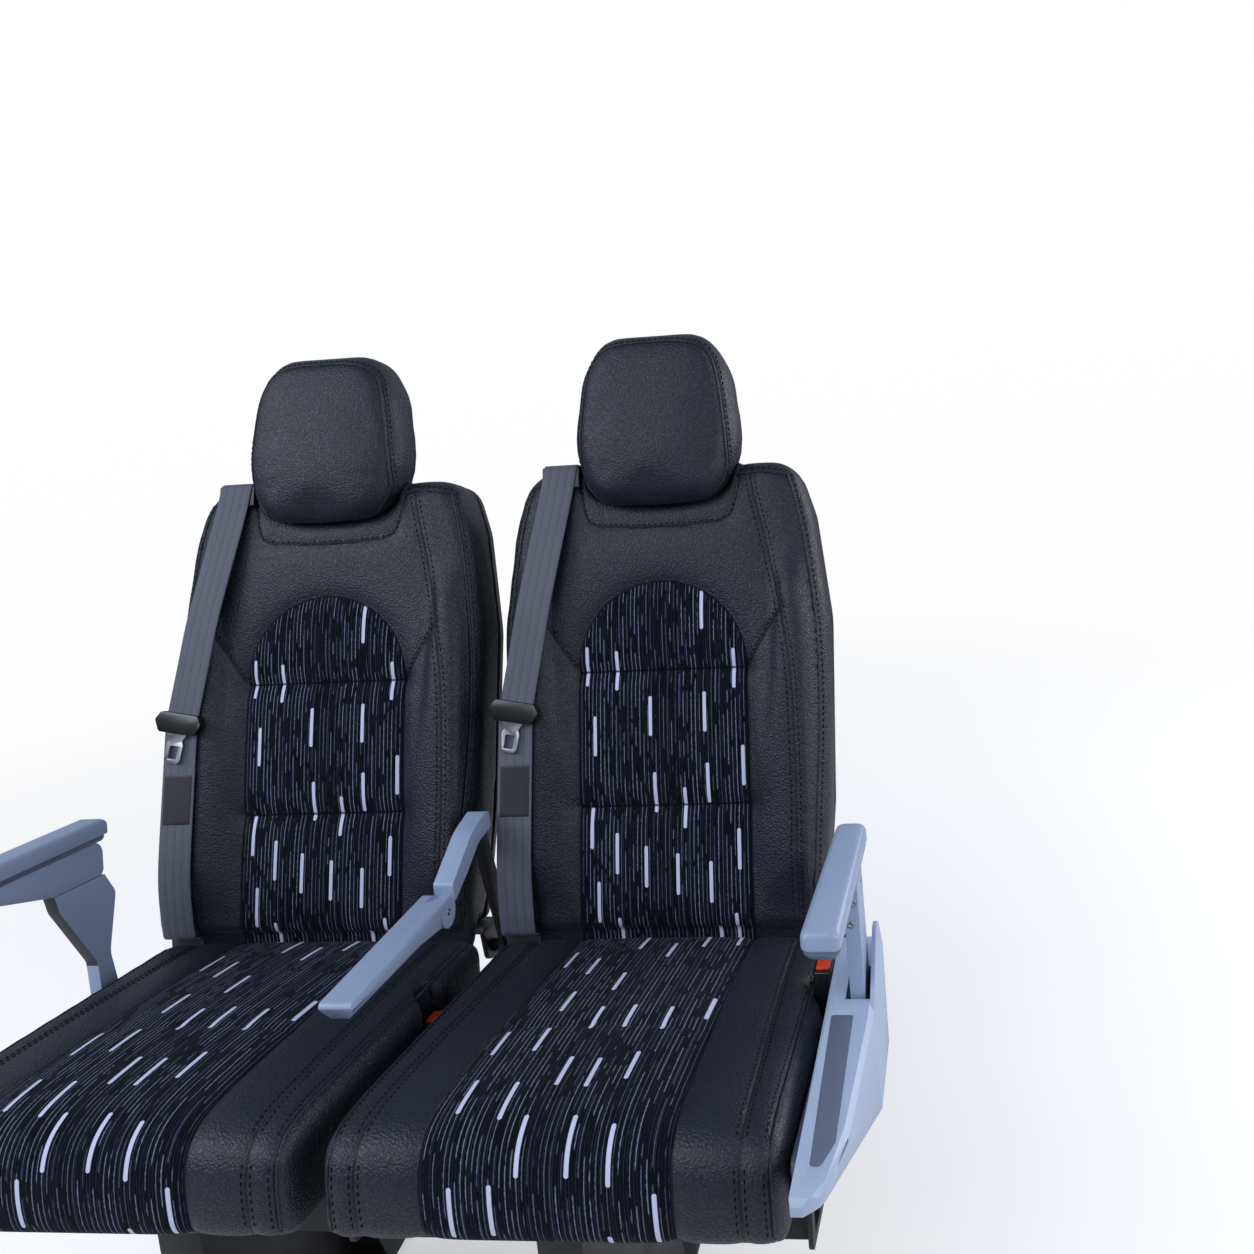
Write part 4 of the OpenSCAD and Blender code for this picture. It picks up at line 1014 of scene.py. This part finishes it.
def webbing_grid(ends, width, lift, columns=13):
    """A ribbon on the webbing's course: its side view is a curve through the guide, the tongue and the
    crease, and its middle runs straight from guide to tongue to anchor. Ends are its lowest and highest s,
    and lift is how far it lies in front."""
    side_view = smooth_path([[PAD_T + 0.0055, SHOULDER_S - 0.018], [PAD_T + 0.005, SHOULDER_S + 0.002],
                             [PAD_T, SHOULDER_S + 0.0064], [PAD_T - 0.010, SHOULDER_S + 0.0068],
                             [0.006, SHOULDER_S + 0.0068], [-0.001, SHOULDER_S + 0.0062],
                             [-0.0052, SHOULDER_S + 0.001], [-0.0062, SHOULDER_S - 0.010],
                             [-0.0085, SHOULDER_S - 0.045], [-0.0225, 0.425], [-0.0235, 0.350],
                             [-0.0235, 0.200], [-0.0225, 0.090], [-0.0125, 0.034], [-0.007, 0.016],
                             [-0.0032, 0.006], [0.003, 0.0030], [0.010, 0.0026]], 3 * MM)
    y, s = side_view[(side_view[:, 1] >= ends[0]) & (side_view[:, 1] <= ends[1])].T
    course = np.array([[0.0, -BELT_TONGUE_X - 0.004], [BELT_TONGUE_S, -BELT_TONGUE_X],
                       [SHOULDER_S, -BELT_TOP_X], [SHOULDER_S + 0.02, -BELT_TOP_X]])
    middle = np.interp(s, course[:, 0], course[:, 1])
    across = np.linspace(-0.5, 0.5, columns)
    cup = 0.5 * MM * (4 * across ** 2 - 1) * step_up(s, 0.05, 0.12)[:, None]
    run = run_along(np.stack([y, s], 1))
    grid = np.stack([middle[:, None] + across * width, y[:, None] + cup - lift,
                     np.broadcast_to(s[:, None], (len(s), columns))], -1)
    uv = np.stack([np.broadcast_to((across + 0.5) * width, (len(s), columns)),
                   np.broadcast_to(run[:, None], (len(s), columns))], -1)
    return grid.reshape(-1, 3), grid_faces(len(s), columns), uv.reshape(-1, 2)


def flat_strip(name, material, ends, width, lift, thickness):
    """A flat woven piece on the webbing's course: thickened to both sides, with softened edges."""
    grid, faces, uv = webbing_grid(ends, width, lift)
    obj = mesh_object(name, to_row(grid, LEAN), faces, material, uv)
    modify(obj, "thickness", "SOLIDIFY", thickness=thickness, offset=0.0)
    modify(obj, "woven edge", "BEVEL", width=0.3 * thickness, segments=2, limit_method="ANGLE")
    settle(obj)
    return obj


def screw_heads(rows, radius=4.2 * MM, sides=20):
    """Socket screws: a profile of radius and height turned round each axis, a low dome with a sunk middle.
    Rows hold a place and the direction that the head faces."""
    profile = np.array([[0.02, -1.1], [0.42, -1.1], [0.46, 0.5], [0.75, 0.62], [0.95, 0.35], [1.0, -0.4]])
    turn = np.linspace(0, 2 * pi, sides, endpoint=False)
    parts = []
    for place, facing in rows:
        axis = np.asarray(facing, float)
        side = np.cross(axis, [0.0, 0.0, 1.0])
        side /= np.linalg.norm(side)
        ring = np.cos(turn)[:, None] * side + np.sin(turn)[:, None] * np.cross(side, axis)
        shape = radius * profile[:, :1, None] * ring[None] + profile[:, 1, None, None] * MM * axis[None, None]
        parts.append((shape.reshape(-1, 3) + np.asarray(place),
                      grid_faces(len(profile), sides, closed=True)[:, ::-1]))
    return joined(parts)


# CAD nodes that keep their shape

def dress_node(node, material, edge, segments=2):
    """Gives a CAD node its finish and soft edges: merged, flat faces joined and sharp edges rounded."""
    obj = NODES[node]
    coat(obj, material)
    modify(obj, "merge", "WELD", merge_threshold=MERGE)
    modify(obj, "join flat faces", "DECIMATE", decimate_type="DISSOLVE", angle_limit=radians(0.6),
           delimit={"MATERIAL"})
    modify(obj, "soft edges", "BEVEL", width=edge * MM, segments=segments, limit_method="ANGLE",
           angle_limit=radians(28), harden_normals=True)


def second_finish(node, material, chosen):
    """A second finish on the chosen faces of a CAD node."""
    obj = NODES[node]
    obj.data.materials.append(material)
    obj.data.polygons.foreach_set("material_index", chosen.astype(np.int32))


# The finish of each CAD node; a name with braces stands for one node on each seat
NODE_FINISH = {
    "paint": "leg_{} front_beam rear_beam side_plate_{} side_plate_centre aisle_arm_guide back_carrier_{}",
    "dark": "back_shell_{} headrest_sleeves_{}",
    "mid": "back_pocket_{} aisle_arm_base aisle_cover_inset aisle_trim window_arm_base",
    "light": "centre_arm_stub centre_arm aisle_arm_cap aisle_arm_post window_arm_bracket window_arm_body "
             "window_arm_cap",
    # Painted light: the aisle side cover takes a lighter copy of the armrests' plastic, for the light falling
    # on it
    "pale": "aisle_cover",
    "zinc": "centre_arm_pin belt_anchor_{} buckle_stalk_{}",
    "chrome": "headrest_rods_{}",
    "black": "belt_guide_{} buckle_{} belt_tongue_{}",
    "red": "buckle_buttons",
    "board": "pan_{}",
}

# The usual rounding of an edge, and the edges that are rounded by more or less, in millimetres
EDGE = 0.7
WIDE_EDGES = {"aisle_arm_cap": 3.0, "window_arm_cap": 2.5, "centre_arm": 3.0, "centre_arm_stub": 3.0,
              "aisle_arm_post": 1.5, "aisle_cover": 1.5, "window_arm_body": 2.0, "window_arm_bracket": 2.0,
              "back_shell_{}": 3.0, "belt_guide_{}": 1.5, "buckle_{}": 2.0, "pan_{}": 0.5}

# Screws, each row a place on the seat and the way its head faces
SCREWS = [
    ("centre_arm_screw", "centre_armrest", [((0.0152, 0.021, 0.533), (1, 0, 0))]),
    ("aisle_post_screws", "aisle_armrest", [((0.4935, -0.0582, 0.580), (0, -1, 0)),
                                            ((0.4895, -0.0582, 0.556), (0, -1, 0)),
                                            ((0.5002, -0.022, 0.588), (1, 0, 0))]),
]

# The camera's sensor in millimetres, the lamps' side in metres, and each lamp's name, place, target and tint
SENSOR = 36.0
LAMP_SIDE = 1.6
LAMPS = [
    ("key", (-2.3, -1.3, 2.3), (0.0, 0.1, 0.7), (0.86, 0.90, 1.0)),
    ("top", (-0.5, -2.0, 2.6), (0.0, 0.2, 0.8), (0.95, 0.94, 1.0)),
    ("fill", (2.4, -0.9, 1.2), (0.0, 0.1, 0.5), (0.95, 0.94, 1.0)),
    ("back", (2.5, 1.6, 1.3), (0.2, 0.25, 0.9), (0.95, 0.94, 1.0)),
]


# Properties, operators and panel

def tint_property(name, code, what):
    """A setting for the colour of something; its default is an sRGB hex value."""
    return FloatVectorProperty(name=name, description=f"Colour of the {what}", subtype="COLOR", size=3,
                               min=0.0, max=1.0, default=linear(code)[:3])


class SeatLook(bpy.types.PropertyGroup):
    """Colours of the seat's cloths, plastics and metals."""

    leather: tint_property("Leathercloth", "#141e30", "coated leathercloth")
    ground: tint_property("Moquette ground", "#050812", "woven moquette's ground")
    line: tint_property("Moquette lines", "#7f87a2", "stronger woven lines")
    line_dim: tint_property("Moquette faint lines", "#333d5c", "fainter woven lines")
    dash: tint_property("Moquette dashes", "#ccd0ec", "bright woven dashes")
    thread: tint_property("Thread", "#090a0d", "sewing thread")
    webbing: tint_property("Webbing", "#575b6a", "belt webbing")
    plastic_light: tint_property("Light plastic", "#96a9c5", "armrests")
    # Painted light: a lighter copy of the light plastic, for the stronger light on the aisle side cover
    plastic_pale: tint_property("Light plastic, painted lit", "#a8bad4", "aisle side cover")
    plastic_mid: tint_property("Mid-grey plastic", "#5e6b80", "cap bases, trim and pockets")
    plastic_dark: tint_property("Dark plastic", "#2c2f34", "rear shells and headrest sleeves")
    plastic_black: tint_property("Black plastic", "#121316", "buckles and the belt guides")
    button: tint_property("Release button", "#e8401c", "buckles' release buttons")
    steel_paint: tint_property("Frame paint", "#1a1b1d", "powder-coated steel")
    floor: tint_property("Floor", "#e6e6e4", "studio floor")


class SeatStudio(bpy.types.PropertyGroup):
    """The camera's place and the lamps' levels."""

    eye: FloatVectorProperty(name="Camera place", description="Where the camera stands", subtype="XYZ",
                             unit="LENGTH", size=3, default=(0.6561, -1.2736, 1.2585))
    yaw: FloatProperty(name="Turn", description="Turn of the camera to the left of straight back",
                       unit="ROTATION", default=radians(7.0))
    pitch: FloatProperty(name="Pitch", description="Downward tilt of the camera", unit="ROTATION",
                         default=radians(8.7))
    roll: FloatProperty(name="Roll", description="Roll of the camera", unit="ROTATION", default=radians(4.5))
    focal: FloatProperty(name="Focal length", description="Focal length in pixels of the 1254-pixel frame",
                         default=1264.3)
    middle: FloatVectorProperty(name="Principal point", description="Its place in the frame, in pixels",
                                size=2, default=(828.1, 437.3))
    frame_side: IntProperty(name="Frame side", description="Side of the square frame in pixels", default=1254)
    key: FloatProperty(name="Key lamp", description="Power of the lamp on the window side", unit="POWER",
                       default=45.0)
    top: FloatProperty(name="Top lamp", description="Power of the lamp over the seats", unit="POWER",
                       default=20.0)
    fill: FloatProperty(name="Fill lamp", description="Power of the lamp on the aisle side", unit="POWER",
                        default=21.0)
    back: FloatProperty(name="Back lamp", description="Power of the lamp behind", unit="POWER", default=33.0)
    sky: FloatProperty(name="Room light", description="Strength of the even light all round", default=0.40)
    shine: FloatProperty(name="Room shine", description="How bright the room is in glossy surfaces",
                         default=0.4)


def area_lamp(name, place, target, power, tint):
    """A soft square lamp that points from its place at a target."""
    lamp = bpy.data.lights.new(name, "AREA")
    lamp.size = LAMP_SIDE
    lamp.energy = power
    lamp.color = tint
    obj = bpy.data.objects.new(name, lamp)
    obj.location = place
    obj.rotation_euler = (Vector(target) - Vector(place)).to_track_quat("-Z", "Y").to_euler()
    bpy.context.scene.collection.objects.link(obj)


class COACHSEAT_OT_studio(bpy.types.Operator):
    """Sets up the pale floor, the soft lamps and the camera"""

    bl_idname = "coachseat.studio"
    bl_label = "Studio"

    def execute(self, context):
        scene = context.scene
        studio = scene.coach_studio
        yaw, pitch, roll = studio.yaw, studio.pitch, studio.roll
        ahead = Vector((-sin(yaw) * cos(pitch), cos(yaw) * cos(pitch), -sin(pitch)))
        level = Vector((cos(yaw), sin(yaw), 0.0))
        down = ahead.cross(level)
        right = level * cos(roll) + down * sin(roll)
        under = down * cos(roll) - level * sin(roll)
        turn = Matrix((right, -under, -ahead)).transposed().to_4x4()
        lens = bpy.data.cameras.new("camera")
        camera = bpy.data.objects.new("camera", lens)
        camera.matrix_world = Matrix.Translation(studio.eye) @ turn
        side = studio.frame_side
        lens.sensor_width = SENSOR
        lens.lens = SENSOR * studio.focal / side
        lens.shift_x = (side / 2 - studio.middle[0]) / side
        lens.shift_y = (studio.middle[1] - side / 2) / side
        lens.clip_start = 0.02
        scene.collection.objects.link(camera)
        scene.camera = camera

        corners = [(-30, -30, 0), (30, -30, 0), (30, 30, 0), (-30, 30, 0)]
        floor = mesh_object("studio_floor", corners, [(0, 1, 2, 3)], studio_floor(scene.coach_look))

        world = bpy.data.worlds.new("room light")
        scene.world = world
        world.use_nodes = True
        world.node_tree.nodes.clear()
        put = partial(add_node, world.node_tree)
        mirrored = put("LightPath", give="Is Glossy Ray")
        level = put("Math MULTIPLY", mirrored, studio.shine)
        level = put("Math MAXIMUM", level, studio.sky)
        for ray in ("Is Camera Ray", "Is Transmission Ray"):
            seen = put("LightPath", give=ray)
            level = put("Math MAXIMUM", level, seen)
        plain = put("LightPath", give="Is Camera Ray")
        tint = put("Mix", plain, (0.78, 0.86, 1.0, 1.0), (1.0, 1.0, 1.0, 1.0))
        light = put("Background", Color=tint, Strength=level)
        out = world.node_tree.nodes.new("ShaderNodeOutputWorld")
        world.node_tree.links.new(light, out.inputs["Surface"])

        for name, place, target, tint in LAMPS:
            area_lamp(f"{name} lamp", place, target, getattr(studio, name), tint)
        scene.view_settings.view_transform = "Standard"
        return {"FINISHED"}


class COACHSEAT_OT_frame(bpy.types.Operator):
    """Finishes the steel frame, shells, armrests and small fittings"""

    bl_idname = "coachseat.frame"
    bl_label = "Frame and plastics"

    def execute(self, context):
        finish = finishes(context.scene.coach_look)
        for key, names in NODE_FINISH.items():
            for name in names.split():
                for node in sorted({name.format(side) for side in SEATS}):
                    dress_node(node, finish[key], WIDE_EDGES.get(name, EDGE), 3 if name in WIDE_EDGES else 2)
        turn = np.arctan2(BELT_TONGUE_X - BELT_TOP_X, SHOULDER_S - BELT_TONGUE_S)
        for side, x0 in SEATS.items():
            tongue = f"belt_tongue_{side}"
            middle = from_row(rows_of(NODES[tongue].data.polygons, "center"), LEAN, x0)
            across, up = middle[:, 0] + BELT_TONGUE_X, middle[:, 2] - BELT_TONGUE_S
            second_finish(tongue, finish["bright"], up * cos(turn) + across * sin(turn) < -GRIP_LOW)
        faces = NODES["window_arm_bracket"].data.polygons
        front = rows_of(faces, "normal")[:, 1] < -0.6
        second_finish("window_arm_bracket", finish["dark"], front & (rows_of(faces, "center")[:, 2] > 0.44))
        for name, body, rows in SCREWS:
            screws = mesh_object(name, *screw_heads(rows), finish["zinc"])
            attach(screws, body)
        return {"FINISHED"}


class COACHSEAT_OT_cushions(bpy.types.Operator):
    """Builds both cushions with their welts and stitching"""

    bl_idname = "coachseat.cushions"
    bl_label = "Cushions"

    def execute(self, context):
        look = context.scene.coach_look
        cover = cushion_cover(look)
        fit_pair(cover, cushion_trim(cover, look), "frame", "cushion")
        return {"FINISHED"}


class COACHSEAT_OT_backrests(bpy.types.Operator):
    """Builds both backrests with their welts and stitching"""

    bl_idname = "coachseat.backrests"
    bl_label = "Backrests"

    def execute(self, context):
        look = context.scene.coach_look
        cover = backrest_cover(look)
        fit_pair(cover, backrest_trim(cover, look), "backrest_{}", "back_pad")
        return {"FINISHED"}


class COACHSEAT_OT_headrests(bpy.types.Operator):
    """Builds both headrests with their welts and stitching"""

    bl_idname = "coachseat.headrests"
    bl_label = "Headrests"

    def execute(self, context):
        look = context.scene.coach_look
        cover = headrest_cover(look)
        fit_pair(cover, headrest_trim(cover, look), "headrest_unit_{}", "headrest")
        return {"FINISHED"}


class COACHSEAT_OT_belts(bpy.types.Operator):
    """Builds the webbing of both belts and its blank tags"""

    bl_idname = "coachseat.belts"
    bl_label = "Belts"

    def execute(self, context):
        finish = finishes(context.scene.coach_look)
        strip = flat_strip("belt_webbing_cover_window", finish["webbing"], ends=(0.0, 1.0), width=45 * MM,
                           lift=0.0, thickness=1.3 * MM)
        tag = flat_strip("belt_tag_window", finish["tag"], ends=(0.150, 0.216), width=38 * MM,
                         lift=1.0 * MM, thickness=0.5 * MM)
        for side, piece in both_seats(strip):
            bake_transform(piece)
            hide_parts(f"belt_webbing_{side}")
            dress_node(f"belt_tail_{side}", finish["dark"], edge=0.3)
        for side, piece in both_seats(tag):
            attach(piece, f"backrest_{side}")
        return {"FINISHED"}


OPERATORS = (COACHSEAT_OT_studio, COACHSEAT_OT_frame, COACHSEAT_OT_cushions, COACHSEAT_OT_backrests,
             COACHSEAT_OT_headrests, COACHSEAT_OT_belts)


class COACHSEAT_PT_pieces(bpy.types.Panel):
    """Buttons for the seat's pieces, and their colours"""

    bl_label = "Coach seat"
    bl_idname = "COACHSEAT_PT_pieces"
    bl_space_type = "VIEW_3D"
    bl_region_type = "UI"
    bl_category = "Coach seat"

    def draw(self, context):
        for operator in OPERATORS:
            self.layout.operator(operator.bl_idname)
        for group in (context.scene.coach_look, context.scene.coach_studio):
            for name in group.bl_rna.properties.keys():
                if name not in ("name", "rna_type"):
                    self.layout.prop(group, name)


CLASSES = (SeatLook, SeatStudio) + OPERATORS + (COACHSEAT_PT_pieces,)


def register():
    """Registers the settings, the operators and the panel."""
    for cls in CLASSES:
        bpy.utils.register_class(cls)
    bpy.types.Scene.coach_look = PointerProperty(type=SeatLook)
    bpy.types.Scene.coach_studio = PointerProperty(type=SeatStudio)


def unregister():
    """Takes the settings, the operators and the panel away again."""
    del bpy.types.Scene.coach_studio
    del bpy.types.Scene.coach_look
    for cls in reversed(CLASSES):
        bpy.utils.unregister_class(cls)


def main():
    """Builds every piece."""
    register()
    bpy.ops.coachseat.studio()
    bpy.ops.coachseat.frame()
    bpy.ops.coachseat.cushions()
    bpy.ops.coachseat.backrests()
    bpy.ops.coachseat.headrests()
    bpy.ops.coachseat.belts()


if __name__ == "__main__":
    main()
